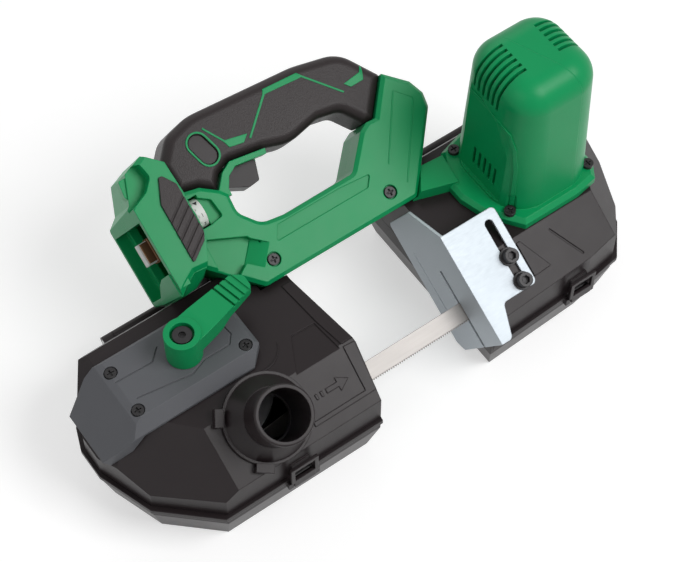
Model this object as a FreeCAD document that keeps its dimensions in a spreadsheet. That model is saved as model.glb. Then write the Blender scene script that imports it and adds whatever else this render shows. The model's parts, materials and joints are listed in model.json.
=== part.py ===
import FreeCAD, Part
import Sketcher
import math
import os
from FreeCAD import Placement, Rotation, Vector

# Portable band saw lying on its wheel covers, millimetres, +Z up.
# The origin is the drive wheel axis on the resting plane; +X runs from the idler wheel to the drive wheel.
# The cutting plane is tilted about X, so the handle and the stop plate have their own tilted frame.

doc = FreeCAD.newDocument("band_saw")
sheet = doc.addObject("Spreadsheet::Sheet", "Sheet")

SIZES = {
    # blade and wheels
    "wheel_span": 250.0,
    "wheel_radius": 53.0,
    "tyre_thick": 2.5,
    "rim_height": 12.0,
    "blade_width": 13.0,
    "blade_thick": 0.65,
    "blade_height": 49.0,
    "blade_gap": 0.3,
    "cut_tilt": 30.0,
    # wheel housings and covers
    "split_height": 42.0,
    "housing_top": 88.0,
    "wall": 3.0,
    "slope_w": 29.3,
    "wall_front": 83.5,
    "wall_back": 66.5,
    "cover_bend": 28.0,
    "lip_out": 2.5,
    "lip_height": 4.0,
    "cover_gap": 0.3,
    "hinge_y": 71.0,
    "hinge_radius": 2.0,
    # handle
    "handle_mid": -18.0,
    "beam_half": 22.0,
    "grip_half": 19.0,
    "grip_round": 7.0,
    "foot_half": 33.0,
    "beam_low": 83.0,
    "shell_wall": 3.0,
    # stop plate
    "plate_thick": 2.0,
    "plate_front_x": 66.0,
    "bolt_spacing": 18.5,
    "bolt_x": 31.0,
    # motor and gears
    "motor_x": 21.0,
    "flange_height": 8.0,
    "motor_top": 210.0,
    "motor_radius": 38.0,
    "gear_module": 1.0,
    "gear_teeth": 30.0,
    "pinion_teeth": 12.0,
    # blade tension
    "slide_travel": 6.0,
    "lever_y": 3.0,
    "tension_top": 98.0,
    "spring_radius": 6.0,
    "spring_wire": 1.6,
    "spring_turns": 6.0,
    # dust port
    "port_x": 229.0,
    "port_u": 12.0,
    "port_length": 45.0,
    "port_bore": 16.6,
}


class Size:
    """A number that remembers the spreadsheet expression it comes from."""

    def __init__(self, value, text):
        self.value = value
        self.text = text

    def __add__(self, other):
        other = as_size(other)
        return Size(self.value + other.value, "(%s + %s)" % (self.text, other.text))

    def __sub__(self, other):
        other = as_size(other)
        return Size(self.value - other.value, "(%s - %s)" % (self.text, other.text))

    def __mul__(self, other):
        other = as_size(other)
        return Size(self.value * other.value, "(%s * %s)" % (self.text, other.text))

    def __truediv__(self, other):
        other = as_size(other)
        return Size(self.value / other.value, "(%s / %s)" % (self.text, other.text))

    def __radd__(self, other):
        return as_size(other) + self

    def __rsub__(self, other):
        return as_size(other) - self

    def __rmul__(self, other):
        return as_size(other) * self

    def __neg__(self):
        return as_size(0.0) - self


def as_size(number):
    if isinstance(number, Size):
        return number
    return Size(float(number), "(%.6f)" % number)


def fill_sheet():
    """Write every driving size to the sheet and hand back the named sizes."""
    named = {}
    for row, (name, value) in enumerate(SIZES.items(), start=1):
        sheet.set("A%d" % row, name)
        sheet.set("B%d" % row, str(value))
        sheet.setAlias("B%d" % row, name)
        named[name] = Size(value, "Sheet." + name)
    doc.recompute()
    return named


named_sizes = fill_sheet()


def size(name):
    return named_sizes[name]


def bind(item, prop, number):
    number = as_size(number)
    item.setExpression(prop, number.text)


NODES = []


def keep(item, label):
    item.Label = label
    NODES.append(item)
    return item


# Frames a sketch can lie in

IDLER_X = -size("wheel_span")
CUT_RADIUS = size("wheel_radius") + size("blade_gap") + size("blade_thick") / 2
TILT_TURN = Rotation(Vector(1, 0, 0), SIZES["cut_tilt"])
ACROSS_TURN = Rotation(Vector(1, 1, 1), 120)
END_TURN = Rotation(Vector(1, 0, 0), 90)
FAR = 900.0


def flat(height):
    """Sketch plane across Z: x and y stay, the height is bound."""
    return (Rotation(), (0, 0, height))


def tilted_point(x, u, w):
    """Place of a tilted-frame point in the flat frame, as numbers."""
    angle = math.radians(SIZES["cut_tilt"])
    y = u * math.cos(angle) - w * math.sin(angle) - CUT_RADIUS.value
    z = u * math.sin(angle) + w * math.cos(angle) + SIZES["blade_height"]
    return Vector(x, y, z)


def tilt():
    """Sketch x along X, y up the cutting plane, from the cutting line."""
    return (TILT_TURN, (0, -CUT_RADIUS, size("blade_height")))


def tilt_across(x):
    """Sketch x up the cutting plane, y across it, normal along X."""
    return (TILT_TURN * ACROSS_TURN, (x, -CUT_RADIUS, size("blade_height")))


def end_on(y):
    """Sketch x along X, y along Z, normal along -Y."""
    return (END_TURN, (0, y, 0))


def across(x):
    """Sketch x along Y, y along Z, normal along X."""
    return (ACROSS_TURN, (x, 0, 0))


# Short ways to draw and build

def body(label):
    return doc.addObject("PartDesign::Body", label)


def sketch(item, frame):
    made = item.newObject("Sketcher::SketchObject", "Sketch")
    plane = [part for part in item.Origin.OriginFeatures if part.Role == "XY_Plane"][0]
    made.AttachmentSupport = [(plane, "")]
    made.MapMode = "FlatFace"
    turn, spot = frame
    made.AttachmentOffset = Placement(Vector(*[as_size(part).value for part in spot]), turn)
    for axis, part in zip("xyz", spot):
        if isinstance(part, Size):
            bind(made, "AttachmentOffset.Base." + axis, part)
    return made


def outline(made, points):
    """A closed run of straight lines with every corner bound to its sizes."""
    corners = [(as_size(x), as_size(y)) for x, y in points]
    first = made.GeometryCount
    count = len(corners)
    for index in range(count):
        start = corners[index]
        end = corners[(index + 1) % count]
        ends = [Vector(spot[0].value, spot[1].value, 0) for spot in (start, end)]
        line = Part.LineSegment(*ends)
        made.addGeometry(line, False)
    for index in range(count):
        joined = (index + 1) % count
        made.addConstraint(Sketcher.Constraint("Coincident", first + index, 2, first + joined, 1))
        for kind, number in zip(("DistanceX", "DistanceY"), corners[index]):
            place = made.addConstraint(Sketcher.Constraint(kind, first + index, 1, number.value))
            if "Sheet." in number.text:
                bind(made, "Constraints[%d]" % place, number)


def box(made, x0, x1, y0, y1):
    outline(made, [(x0, y0), (x1, y0), (x1, y1), (x0, y1)])


def ring(made, x, y, radius):
    """A circle with its centre and radius bound."""
    x, y, radius = as_size(x), as_size(y), as_size(radius)
    index = made.addGeometry(Part.Circle(Vector(x.value, y.value, 0), Vector(0, 0, 1), radius.value), False)
    for kind, spots, number in (("DistanceX", (3,), x), ("DistanceY", (3,), y), ("Radius", (), radius)):
        place = made.addConstraint(Sketcher.Constraint(kind, index, *spots, number.value))
        if "Sheet." in number.text:
            bind(made, "Constraints[%d]" % place, number)


def slot(made, x0, y0, x1, y1, width):
    """A round-ended slot between two points."""
    start = Vector(x0, y0, 0)
    end = Vector(x1, y1, 0)
    along = (end - start).normalize()
    aside = Vector(-along.y, along.x, 0) * (width / 2)
    tip = along * (width / 2)
    made.addGeometry(Part.LineSegment(start + aside, end + aside), False)
    made.addGeometry(Part.Arc(end + aside, end + tip, end - aside), False)
    made.addGeometry(Part.LineSegment(end - aside, start - aside), False)
    made.addGeometry(Part.Arc(start - aside, start - tip, start + aside), False)


def rounded(made, corners):
    """A closed outline of straight lines whose corners (x, y, radius) are rounded by arcs."""
    count = len(corners)
    cuts = []
    for index in range(count):
        here = Vector(corners[index][0], corners[index][1], 0)
        radius = corners[index][2]
        back = (Vector(corners[index - 1][0], corners[index - 1][1], 0) - here).normalize()
        ahead = corners[(index + 1) % count]
        front = (Vector(ahead[0], ahead[1], 0) - here).normalize()
        half = back.getAngle(front) / 2
        reach = radius / math.tan(half)
        middle = here + (back + front).normalize() * (radius / math.sin(half) - radius)
        cuts.append((here + back * reach, middle, here + front * reach, radius))
    for index in range(count):
        start, middle, end, radius = cuts[index]
        if radius > 0:
            made.addGeometry(Part.Arc(start, middle, end), False)
        made.addGeometry(Part.LineSegment(end, cuts[(index + 1) % count][0]), False)


def pad(item, made, length, both=False, down=False, taper=0):
    grown = item.newObject("PartDesign::Pad", "Pad")
    grown.Profile = made
    bind(grown, "Length", length)
    grown.SideType = "Symmetric" if both else "One side"
    grown.Reversed = down
    grown.TaperAngle = taper
    return grown


def cut(item, made, length=FAR, both=True, up=False):
    """Cut a sketch out of the body; one-sided cuts go against the sketch normal unless up."""
    taken = item.newObject("PartDesign::Pocket", "Pocket")
    taken.Profile = made
    bind(taken, "Length", length)
    taken.SideType = "Symmetric" if both else "One side"
    taken.Reversed = up
    return taken


def edges_where(shape, test):
    return ["Edge%d" % (index + 1) for index, edge in enumerate(shape.Edges) if test(edge)]


def soften(item, radius, test, kind="PartDesign::Fillet"):
    """Round or bevel the edges of the body so far that pass the test."""
    doc.recompute()
    tip = item.Tip
    found = edges_where(tip.Shape, test)
    made = item.newObject(kind, "Soft")
    made.Base = (tip, found)
    bind(made, "Radius" if kind.endswith("Fillet") else "Size", radius)
    return made


def at_height(height):
    return lambda edge: all(abs(point.Point.z - height) < 1e-4 for point in edge.Vertexes)


def prism(label, points, low, height, frame=flat):
    item = body(label)
    made = sketch(item, frame(low))
    outline(made, points)
    pad(item, made, height)
    return item


def disc(item, x, y, radius, low, height, bore=None):
    """Add an upright round boss, with a bore when one is given."""
    made = sketch(item, flat(low))
    ring(made, x, y, radius)
    if bore is not None:
        ring(made, x, y, bore)
    pad(item, made, height)


def hole(item, x, y, radius, low, height):
    made = sketch(item, flat(low))
    ring(made, x, y, radius)
    cut(item, made, height, both=False, up=True)


def place(item, x=0, y=0, z=0, turn=None):
    """Put a body at a bound place."""
    spot = (x, y, z)
    item.Placement = Placement(Vector(*[as_size(part).value for part in spot]), turn or Rotation())
    for axis, part in zip("xyz", spot):
        if isinstance(part, Size):
            bind(item, "Placement.Base." + axis, part)
    return item


def place_tilted(item):
    """Put a body in the tilted frame, its Z across the cutting plane."""
    return place(item, 0, -CUT_RADIUS, size("blade_height"), TILT_TURN)


def group(label, items):
    """One node of several like pieces."""
    item = doc.addObject("Part::MultiFuse", label)
    item.Shapes = items
    return keep(item, label)


def subtract(label, base, tools):
    """Cut tool bodies out of a base body, one after the other."""
    result = base
    for tool in tools:
        taken = doc.addObject("Part::Cut", label + "_cut")
        taken.Base = result
        taken.Tool = tool
        result = taken
    return keep(result, label)


# Wheel housings and their covers

BEAM_GAP = 0.4
BEAM_CLEAR = size("beam_low") - BEAM_GAP
BEAM_END_SUM = -94.4
BACK_SLOPE_U = 104.0
STEP_X = -181.0


def tilt_at(w):
    """Tilted sketch plane lifted across the cutting plane."""
    return (TILT_TURN, tuple(tilted_point(0, 0, w)))


def shrink(points, centre_x, inset):
    """Move every corner towards the wheel axis by the inset, along both axes."""
    moved = []
    for x, y in points:
        x, y = as_size(x), as_size(y)
        aside = 1 if x.value > centre_x else -1
        ahead = 1 if y.value > 0 else -1
        moved.append((x - aside * as_size(inset), y - ahead * as_size(inset)))
    return moved


FRONT_OUTLINE = [
    (IDLER_X + 93, -size("wall_front")),
    (IDLER_X + 98, -48),
    (IDLER_X + 90, 15),
    (IDLER_X + 90, size("wall_back")),
    (IDLER_X - 25, size("wall_back")),
    (IDLER_X - 48, 56),
    (IDLER_X - 72, 24),
    (IDLER_X - 78, 8),
    (IDLER_X - 78, -10),
    (IDLER_X - 64, -50),
    (IDLER_X - 28, -size("wall_front")),
]
REAR_WALL_X = -size("plate_front_x") + size("plate_thick") + 0.4
REAR_OUTLINE = [
    (REAR_WALL_X, -size("wall_front") + 1.5),
    (22, -size("wall_front") + 5),
    (48, -74.5),
    (67, -52),
    (78, -20),
    (78, 15),
    (62, 50),
    (40, size("wall_back")),
    (REAR_WALL_X, size("wall_back")),
]


def bevel(item, x, y, angle, low, run, rise):
    """Shave a sloping flat off the rim of a housing, facing the given angle."""
    turn = Rotation(Vector(0, 0, 1), angle) * END_TURN
    made = sketch(item, (turn, (x, y, 0)))
    below, beyond = 0.6, 1.6
    top = low + rise * beyond
    outline(made, [(run * below, low - rise * below), (-run * beyond, top), (run * below, top)])
    cut(item, made)


def shave_slope(item, inset):
    """Cut the sloping front face that lies parallel to the cutting plane."""
    made = sketch(item, tilt_across(0))
    box(made, -120, 220, size("slope_w") - inset, 320)
    cut(item, made)


def shave_back(item, points):
    """Cut the back away where the handle passes, in the tilted frame."""
    made = sketch(item, tilt())
    outline(made, points)
    cut(item, made)


def front_back_points(inset):
    step = as_size(STEP_X) - inset
    low = BEAM_CLEAR - inset
    high = as_size(BACK_SLOPE_U) - inset
    return [(-100, low), (step, low), (step, high), (-420, high), (-420, 330), (-100, 330)]


def rear_back_points(inset):
    low = BEAM_CLEAR - inset * 0.6
    high = as_size(BACK_SLOPE_U) - inset
    lean = as_size(inset) * 1.25
    return [(-140, low), (lean - 46, low), (lean - 30, high), (160, high), (160, 330), (-140, 330)]


def beam_notch(item, inset):
    """Clear the slanting end of the handle beam, which reaches over the step."""
    reach = as_size(inset).value
    edge = BEAM_END_SUM - BEAM_GAP - reach * math.sqrt(2)
    low = SIZES["beam_low"] - BEAM_GAP - reach
    high = BACK_SLOPE_U + 2
    made = sketch(item, tilt_at(SIZES["handle_mid"] - SIZES["beam_half"] - BEAM_GAP - reach))
    outline(made, [(edge - low, low), (STEP_X + 30, low), (STEP_X + 30, high), (edge - high, high)])
    cut(item, made, FAR, both=False, up=True)


def front_block(label, inset, low, high):
    item = prism(label, shrink(FRONT_OUTLINE, IDLER_X.value, inset), low, high - low)
    shave_slope(item, inset)
    thick = as_size(inset).value
    bevel(item, IDLER_X - 78 + thick * 1.4, 0, 180, 60, 28, 28)
    bevel(item, IDLER_X - 46 + thick, -67 + thick, 223, 58, 36, 30)
    shave_back(item, front_back_points(inset))
    beam_notch(item, inset)
    return item


def rear_block(label, inset, low, high):
    item = prism(label, shrink(REAR_OUTLINE, 0, inset), low, high - low)
    shave_slope(item, inset)
    thick = as_size(inset).value
    bevel(item, 70 - thick * 1.2, -44 + thick, -28, 62, 20, 26)
    shave_back(item, rear_back_points(inset))
    return item


LUG_WIDTH = 8.0


def hinge_lugs(item, centres):
    """Round lugs that carry the cover hinge pin, tied back to the wall by a web."""
    reach = size("hinge_y") - size("wall_back") + 1.5
    for centre in centres:
        made = sketch(item, across(centre - LUG_WIDTH / 2))
        ring(made, size("hinge_y"), size("split_height"), size("hinge_radius") * 2)
        pad(item, made, LUG_WIDTH)
        web = sketch(item, across(centre - LUG_WIDTH / 2))
        box(web, size("hinge_y") - reach, size("hinge_y"), size("split_height"), size("split_height") + 4)
        pad(item, web, LUG_WIDTH)


def pin_bore(item, low_x, length):
    made = sketch(item, across(low_x))
    ring(made, size("hinge_y"), size("split_height"), size("hinge_radius"))
    cut(item, made, length, both=False, up=True)


def blade_window(item, x, length, u_mid, w_mid, u_half, w_half):
    """Cut the way through for the blade, from x along +X."""
    made = sketch(item, tilt_across(x))
    box(made, u_mid - u_half, u_mid + u_half, w_mid - w_half, w_mid + w_half)
    cut(item, made, length, both=False, up=True)


RETURN_U = 2 * CUT_RADIUS.value * math.cos(math.radians(SIZES["cut_tilt"]))
RETURN_W = -2 * CUT_RADIUS.value * math.sin(math.radians(SIZES["cut_tilt"]))
FRONT_LUGS = (-272, -214)
REAR_LUGS = (-18, 34)
CLIP_FRONT_X = -222.0
CLIP_REAR_X = 12.0
CLIP_WALL_FRONT = -83.5
CLIP_WALL_REAR = -78.7


def catch_block(item, x, wall_y):
    """The catch a cover clip snaps over."""
    made = sketch(item, across(x - 7))
    tip = wall_y - 3.5
    outline(made, [(wall_y + 2, 49), (tip, 49), (tip, 52), (tip + 2, 56), (wall_y + 2, 56)])
    pad(item, made, 14)


def relief(item, points, height):
    """A low raised panel on the sloping face."""
    made = sketch(item, tilt_at(SIZES["slope_w"] - 1))
    outline(made, points)
    pad(item, made, height + 1)


def score(item, lines, frame, width, depth):
    """Narrow grooves scored into a face, each between two points."""
    for start, end in lines:
        made = sketch(item, frame)
        slot(made, *start, *end, width)
        cut(item, made, depth + 3, both=False, up=True)


def arrow_relief(item):
    """The moulded arrow that shows which way the blade runs."""
    height, middle, neck, tip = 0.6, 6.4, -177, -168.8
    relief(item, [(-186, middle - 1.6), (neck, middle - 1.6), (neck, middle - 4.8), (tip, middle),
                  (neck, middle + 4.8), (neck, middle + 1.6), (-186, middle + 1.6)], height)
    for x in (-190.2, -194.2):
        low, high = middle - 1.8, middle + 1.8
        relief(item, [(x, low), (x + 1.6, low), (x + 1.6, high), (x, high)], height)


def throat_band(item):
    """A raised border along the end of the front housing that faces the work."""
    top = sketch(item, flat(SIZES["housing_top"] - 1))
    outline(top, [(-152.9, -44.8), (-160.4, 13.5), (-168, 13.5), (-165, -22), (-161.5, -44.8)])
    pad(item, top, 2)
    relief(item, THROAT_BAND, 0.9)


THROAT_BAND = [
    (-161.3, 25.2), (-152.9, 24.6), (-156.2, -9.5), (-204, -9.5), (-204, -6.5), (-163, -6.5),
]
ROOF_RECESS = [(-184, -20.5), (-166.5, -21.5), (-163.5, -50), (-199.5, -50)]


def front_housing():
    low = size("split_height")
    outer = front_block("front_outer", 0, low, size("housing_top"))
    catch_block(outer, CLIP_FRONT_X, CLIP_WALL_FRONT)
    hinge_lugs(outer, FRONT_LUGS)
    pin_bore(outer, -280, 80)
    blade_window(outer, -166, 30, 0, 0, 9.5, 4)
    blade_window(outer, -192, 30, RETURN_U, RETURN_W, 7, 9)
    lever_hole = sketch(outer, flat(size("housing_top") - 12))
    ring(lever_hole, IDLER_X, size("lever_y"), 9)
    cut(outer, lever_hole, 20, both=False, up=True)
    port = sketch(outer, tilt_at(SIZES["slope_w"] - 8))
    ring(port, -size("port_x"), size("port_u"), size("port_bore") - 1)
    cut(outer, port, 20, both=False, up=True)
    for angle in (150, 235):
        hook(outer, angle)
    sunk = sketch(outer, flat(SIZES["housing_top"] - 1))
    outline(sunk, ROOF_RECESS)
    cut(outer, sunk, 6, both=False, up=True)
    throat_band(outer)
    arrow_relief(outer)
    inner = front_block("front_inner", size("wall"), low - 6, size("housing_top") - size("wall"))
    return subtract("front_housing", outer, [inner])


def hook(item, angle):
    """A bayonet catch over the flange of the dust port."""
    turn = TILT_TURN * Rotation(Vector(0, 0, 1), angle)
    base = tilted_point(-SIZES["port_x"], SIZES["port_u"], SIZES["slope_w"] - 1)
    post = sketch(item, (turn, tuple(base)))
    box(post, 31.5, 35, -6, 6)
    pad(item, post, 7)
    claw = sketch(item, (turn, tuple(base + TILT_TURN.multVec(Vector(0, 0, 4.8)))))
    box(claw, 28.9, 33, -6, 6)
    pad(item, claw, 2.2)


def rear_housing():
    low = size("split_height")
    outer = rear_block("rear_outer", 0, low, size("housing_top"))
    catch_block(outer, CLIP_REAR_X, CLIP_WALL_REAR)
    hinge_lugs(outer, REAR_LUGS)
    pin_bore(outer, -30, 80)
    blade_window(outer, -66, 22, 0, 0, 9.5, 4)
    blade_window(outer, -60, 40, RETURN_U, RETURN_W, 7, 9)
    relief(outer, [(-20.5, 23), (-17.5, 23), (-6.3, -1.5), (-20.5, -2.2)], 0.9)
    score(outer, [((6, 19), (19, -6))], tilt_at(SIZES["slope_w"] - 0.8), 1.4, 0.8)
    motor_hole = sketch(outer, flat(size("housing_top") - 12))
    ring(motor_hole, size("motor_x"), 0, 27)
    cut(outer, motor_hole, 20, both=False, up=True)
    for step in (0, 1):
        bolt = sketch(outer, tilt_at(SIZES["slope_w"] - 9))
        ring(bolt, -size("bolt_x"), size("bolt_spacing") * step, 3)
        cut(outer, bolt, 20, both=False, up=True)
    inner = rear_block("rear_inner", size("wall"), low - 6, size("housing_top") - size("wall"))
    return subtract("rear_housing", outer, [inner])


def cover_block(label, points, inset, back_points, high):
    """A dish that narrows below its bend; the inner one makes the hollow."""
    item = body(label)
    straight = sketch(item, flat(size("cover_bend")))
    outline(straight, points)
    pad(item, straight, high - size("cover_bend"))
    dish = sketch(item, flat(size("cover_bend")))
    outline(dish, points)
    pad(item, dish, size("cover_bend") - inset, down=True, taper=-14)
    if back_points:
        shave_back(item, back_points)
    return item


def lip(item, points):
    """The rim lip, standing out on every side but the throat."""
    high = size("split_height") - size("cover_gap")
    made = sketch(item, flat(high - size("lip_height")))
    outline(made, points)
    pad(item, made, size("lip_height"))


def lip_points(points, throat_x):
    moved = []
    for x, y in points:
        x, y = as_size(x), as_size(y)
        on_throat = abs(x.value - throat_x) < 14
        aside = 0 if on_throat else (1 if x.value > -125 else -1)
        ahead = 1 if y.value > 0 else -1
        moved.append((x + aside * size("lip_out"), y + ahead * size("lip_out")))
    return moved


def cover_knuckle(item, low_x, length):
    """The part of the cover that wraps the hinge pin."""
    made = sketch(item, across(low_x))
    ring(made, size("hinge_y"), size("split_height"), size("hinge_radius") * 2)
    pad(item, made, length)
    web = sketch(item, across(low_x))
    top = size("split_height") - size("cover_gap")
    box(web, size("wall_back") - 1, size("hinge_y"), top - 4, top)
    pad(item, web, length)
    bore = sketch(item, across(low_x - 1))
    ring(bore, size("hinge_y"), size("split_height"), size("hinge_radius") + 0.06)
    cut(item, bore, length + 2, both=False, up=True)


def lug_relief(item, centres):
    """Round clearances in the cover lip for the lugs of the housing."""
    for centre in centres:
        made = sketch(item, across(centre - LUG_WIDTH / 2 - 0.4))
        ring(made, size("hinge_y"), size("split_height"), size("hinge_radius") * 2 + 0.5)
        cut(item, made, LUG_WIDTH + 0.8, both=False, up=True)


def wheel_cover(label, points, throat_x, centre_x, back_points, lugs, knuckle_x, knuckle_length,
                clip_x, clip_y):
    high = size("split_height") - size("cover_gap")
    outer = cover_block(label + "_outer", points, 0, None, high)
    lip(outer, lip_points(points, throat_x))
    shave_back(outer, back_points(0))
    lug_relief(outer, lugs)
    cover_knuckle(outer, knuckle_x, knuckle_length)
    ears = sketch(outer, across(clip_x - 12))
    box(ears, clip_y - 5.5, clip_y, 34, 40.5)
    pad(outer, ears, 24)
    gap = sketch(outer, across(clip_x - 8.4))
    box(gap, clip_y - 8, clip_y - 0.2, 30, 45)
    cut(outer, gap, 16.8, both=False, up=True)
    pin = sketch(outer, across(clip_x - 11))
    ring(pin, clip_y - 3.2, 37, 1.3)
    pad(outer, pin, 22)
    inner = cover_block(label + "_inner", shrink(points, centre_x, size("wall")), size("wall"),
                        back_points(size("wall")), high + 4)
    return subtract(label, outer, [inner])


def clip(label, x, y):
    """A loop hinged on the cover lip that snaps over the catch on the housing."""
    item = body(label)
    low = sketch(item, across(x - 8))
    ring(low, y - 3.2, 37, 2.6)
    pad(item, low, 16)
    side = sketch(item, across(x - 10.5))
    box(side, y - 6.6, y - 4.4, 36, 59.5)
    pad(item, side, 21)
    window = sketch(item, across(x - 7.8))
    box(window, y - 9, y + 3, 44, 56.4)
    cut(item, window, 15.6, both=False, up=True)
    relief = sketch(item, across(x - 10.6))
    box(relief, y - 9, y + 3, 34, 41.2)
    cut(item, relief, 2.4, both=False, up=True)
    relief_end = sketch(item, across(x + 8.2))
    box(relief_end, y - 9, y + 3, 34, 41.2)
    cut(item, relief_end, 2.4, both=False, up=True)
    bore = sketch(item, across(x - 12))
    ring(bore, y - 3.2, 37, 1.36)
    cut(item, bore, 24, both=False, up=True)
    return keep(item, label)


def hinge_pin(low_x, length):
    item = body("hinge_pin")
    made = sketch(item, across(low_x))
    ring(made, size("hinge_y"), size("split_height"), size("hinge_radius"))
    pad(item, made, length)
    return item


def back_channel():
    """The covered way the blade returns through, under the handle beam."""
    item = body("channel_outer")
    made = sketch(item, tilt_at(-67))
    low = size("beam_low") + 0.1
    outline(made, [(STEP_X + 0.4, low), (-46.3, low), (-31.5, 103), (STEP_X + 0.4, 103)])
    pad(item, made, 26.5)
    hollow = body("channel_inner")
    inside = sketch(hollow, tilt_at(-64))
    box(inside, STEP_X - 9, -20, low + 2.5, 100.5)
    pad(hollow, inside, 20.8)
    return subtract("back_channel", item, [hollow])


front_housing()
rear_housing()
wheel_cover("front_cover", FRONT_OUTLINE, IDLER_X.value + 93, IDLER_X.value, front_back_points,
            FRONT_LUGS, -267.7, 49.4, CLIP_FRONT_X, CLIP_WALL_FRONT)
wheel_cover("rear_cover", REAR_OUTLINE, REAR_WALL_X.value, 0, rear_back_points,
            REAR_LUGS, -13.7, 43.4, CLIP_REAR_X, CLIP_WALL_REAR)
clip("front_clip", CLIP_FRONT_X, CLIP_WALL_FRONT)
clip("rear_clip", CLIP_REAR_X, CLIP_WALL_REAR)
group("hinge_pins", [hinge_pin(-276, 66), hinge_pin(-22, 60)])
back_channel()


# Wheels, blade and guides

RIM_LOW = size("blade_height") - size("rim_height") / 3
RIM_TOP = RIM_LOW + size("rim_height")
SHAFT_RADIUS = 8.0
FIT = 0.03


def wheel(label, x, hub_radius, bore):
    """A spoked disc with a rim flange behind the blade and a seat for the tyre."""
    item = body(label)
    rim = size("wheel_radius") - size("tyre_thick")
    disc(item, 0, 0, rim, RIM_LOW, size("rim_height"))
    disc(item, 0, 0, size("wheel_radius") + 1.3, RIM_TOP - 0.8, 1.0)
    for low, high in ((RIM_LOW, 4), (RIM_LOW + 9, 4)):
        made = sketch(item, flat(low))
        ring(made, 0, 0, rim - 6)
        ring(made, 0, 0, hub_radius)
        cut(item, made, high, both=False, up=True)
    doc.recompute()
    for step in range(6):
        angle = math.radians(60 * step)
        hole(item, 31 * math.cos(angle), 31 * math.sin(angle), 8.5, RIM_LOW, 20)
    hole(item, 0, 0, bore, RIM_LOW - 1, 24)
    return keep(place(item, x), label)


def tyre(label, x):
    item = body(label)
    disc(item, 0, 0, size("wheel_radius"), RIM_LOW, size("rim_height") - 0.9,
         size("wheel_radius") - size("tyre_thick"))
    return keep(place(item, x), label)


def turned(label, x, y, steps, bores=()):
    """A turned piece: (radius, low, height) steps and bores on one upright axis."""
    item = body(label)
    for radius, low, height in steps:
        disc(item, 0, 0, radius, low, height)
    for radius, low, height in bores:
        hole(item, 0, 0, radius, low, height)
    return place(item, x, y)


def round_piece(label, x, y, steps, bores=()):
    return keep(turned(label, x, y, steps, bores), label)


def gear_outline(made, teeth, module, turn):
    """Straight-flanked teeth: root, two flank corners at the tip, root."""
    pitch = 2 * math.pi / teeth
    root = module * (teeth / 2 - 1.3)
    tip = module * (teeth / 2 + 0.9)
    points = []
    for tooth in range(int(teeth)):
        middle = turn + tooth * pitch
        for radius, share in ((root, -0.36), (tip, -0.13), (tip, 0.13), (root, 0.36)):
            angle = middle + share * pitch
            points.append(Vector(radius * math.cos(angle), radius * math.sin(angle), 0))
    for index in range(len(points)):
        made.addGeometry(Part.LineSegment(points[index - 1], points[index]), False)


def spur_gear(item, teeth, low, height, turn):
    made = sketch(item, flat(low))
    gear_outline(made, SIZES[teeth], SIZES["gear_module"], turn)
    pad(item, made, height)


def blade_section(x, angle):
    """The blade's cross section on the cutting run, turned about X."""
    half_thick = SIZES["blade_thick"] / 2
    half_width = SIZES["blade_width"] / 2
    corners = []
    for thick, wide in ((-1, -1), (1, -1), (1, 1), (-1, 1), (-1, -1)):
        spot = Rotation(Vector(1, 0, 0), -angle).multVec(Vector(0, thick * half_thick, wide * half_width))
        corners.append(spot + Vector(x, -CUT_RADIUS.value, SIZES["blade_height"]))
    return Part.makePolygon(corners)


def blade_twist(start, end):
    """The run from a wheel to a guide, where the blade turns into the cutting plane."""
    full = 90 - SIZES["cut_tilt"]
    stations = 6
    wires = []
    for step in range(stations + 1):
        part = step / stations
        wires.append(blade_section(start + (end - start) * part, full * (3 * part ** 2 - 2 * part ** 3)))
    return Part.makeLoft(wires, True, False)


def blade():
    """One endless band: two wheel arcs, the return run, two twists and the cutting run."""
    inner = SIZES["wheel_radius"] + SIZES["blade_gap"]
    thick = SIZES["blade_thick"]
    wide = SIZES["blade_width"]
    low = SIZES["blade_height"] - wide / 2
    span = SIZES["wheel_span"]
    pieces = []
    for x, turn in ((-span, 90), (0, -90)):
        outer_arc = Part.makeCylinder(inner + thick, wide, Vector(0, 0, low), Vector(0, 0, 1), 180)
        arc = outer_arc.cut(Part.makeCylinder(inner, wide, Vector(0, 0, low), Vector(0, 0, 1), 180))
        arc.rotate(Vector(), Vector(0, 0, 1), turn)
        arc.translate(Vector(x, 0, 0))
        pieces.append(arc)
    pieces.append(Part.makeBox(span, thick, wide, Vector(-span, inner, low)))
    pieces.append(blade_twist(-span, GUIDE_FRONT_X - 5))
    pieces.append(blade_twist(0, GUIDE_REAR_X + 5))
    full = 90 - SIZES["cut_tilt"]
    ends = [blade_section(GUIDE_FRONT_X - 5, full), blade_section(GUIDE_REAR_X + 5, full)]
    pieces.append(Part.makeLoft(ends, True, True))
    item = doc.addObject("Part::Feature", "blade")
    item.Shape = pieces[0].fuse(pieces[1:]).removeSplitter()
    return keep(item, "blade")


GUIDE_FRONT_X = -171.0
GUIDE_REAR_X = -50.0
ROLLER_RADIUS = 4.5
ROLLER_W = ROLLER_RADIUS + 0.65 / 2 + 0.12


def guide_bracket(x, reach):
    """A bracket that backs the blade and carries two roller pins; reach is its arm towards the wall."""
    item = body("guide_bracket")
    made = sketch(item, tilt_at(-13))
    box(made, min(-8, reach), max(8, reach), -9.5, 14)
    pad(item, made, 26)
    gap = sketch(item, tilt_at(-10.2))
    box(gap, -30, 30, -12, 6.9)
    cut(item, gap, 20.4, both=False, up=True)
    for side in (-1, 1):
        bore = sketch(item, (TILT_TURN * END_TURN, tuple(tilted_point(0, 16, side * ROLLER_W))))
        ring(bore, 0, 0, 2)
        cut(item, bore, 20, both=False, up=True)
    return place(item, x)


def pin_frame(u, w):
    """Plane across the blade's width direction, normal down it."""
    return (TILT_TURN * END_TURN, tuple(tilted_point(0, u, w)))


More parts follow.
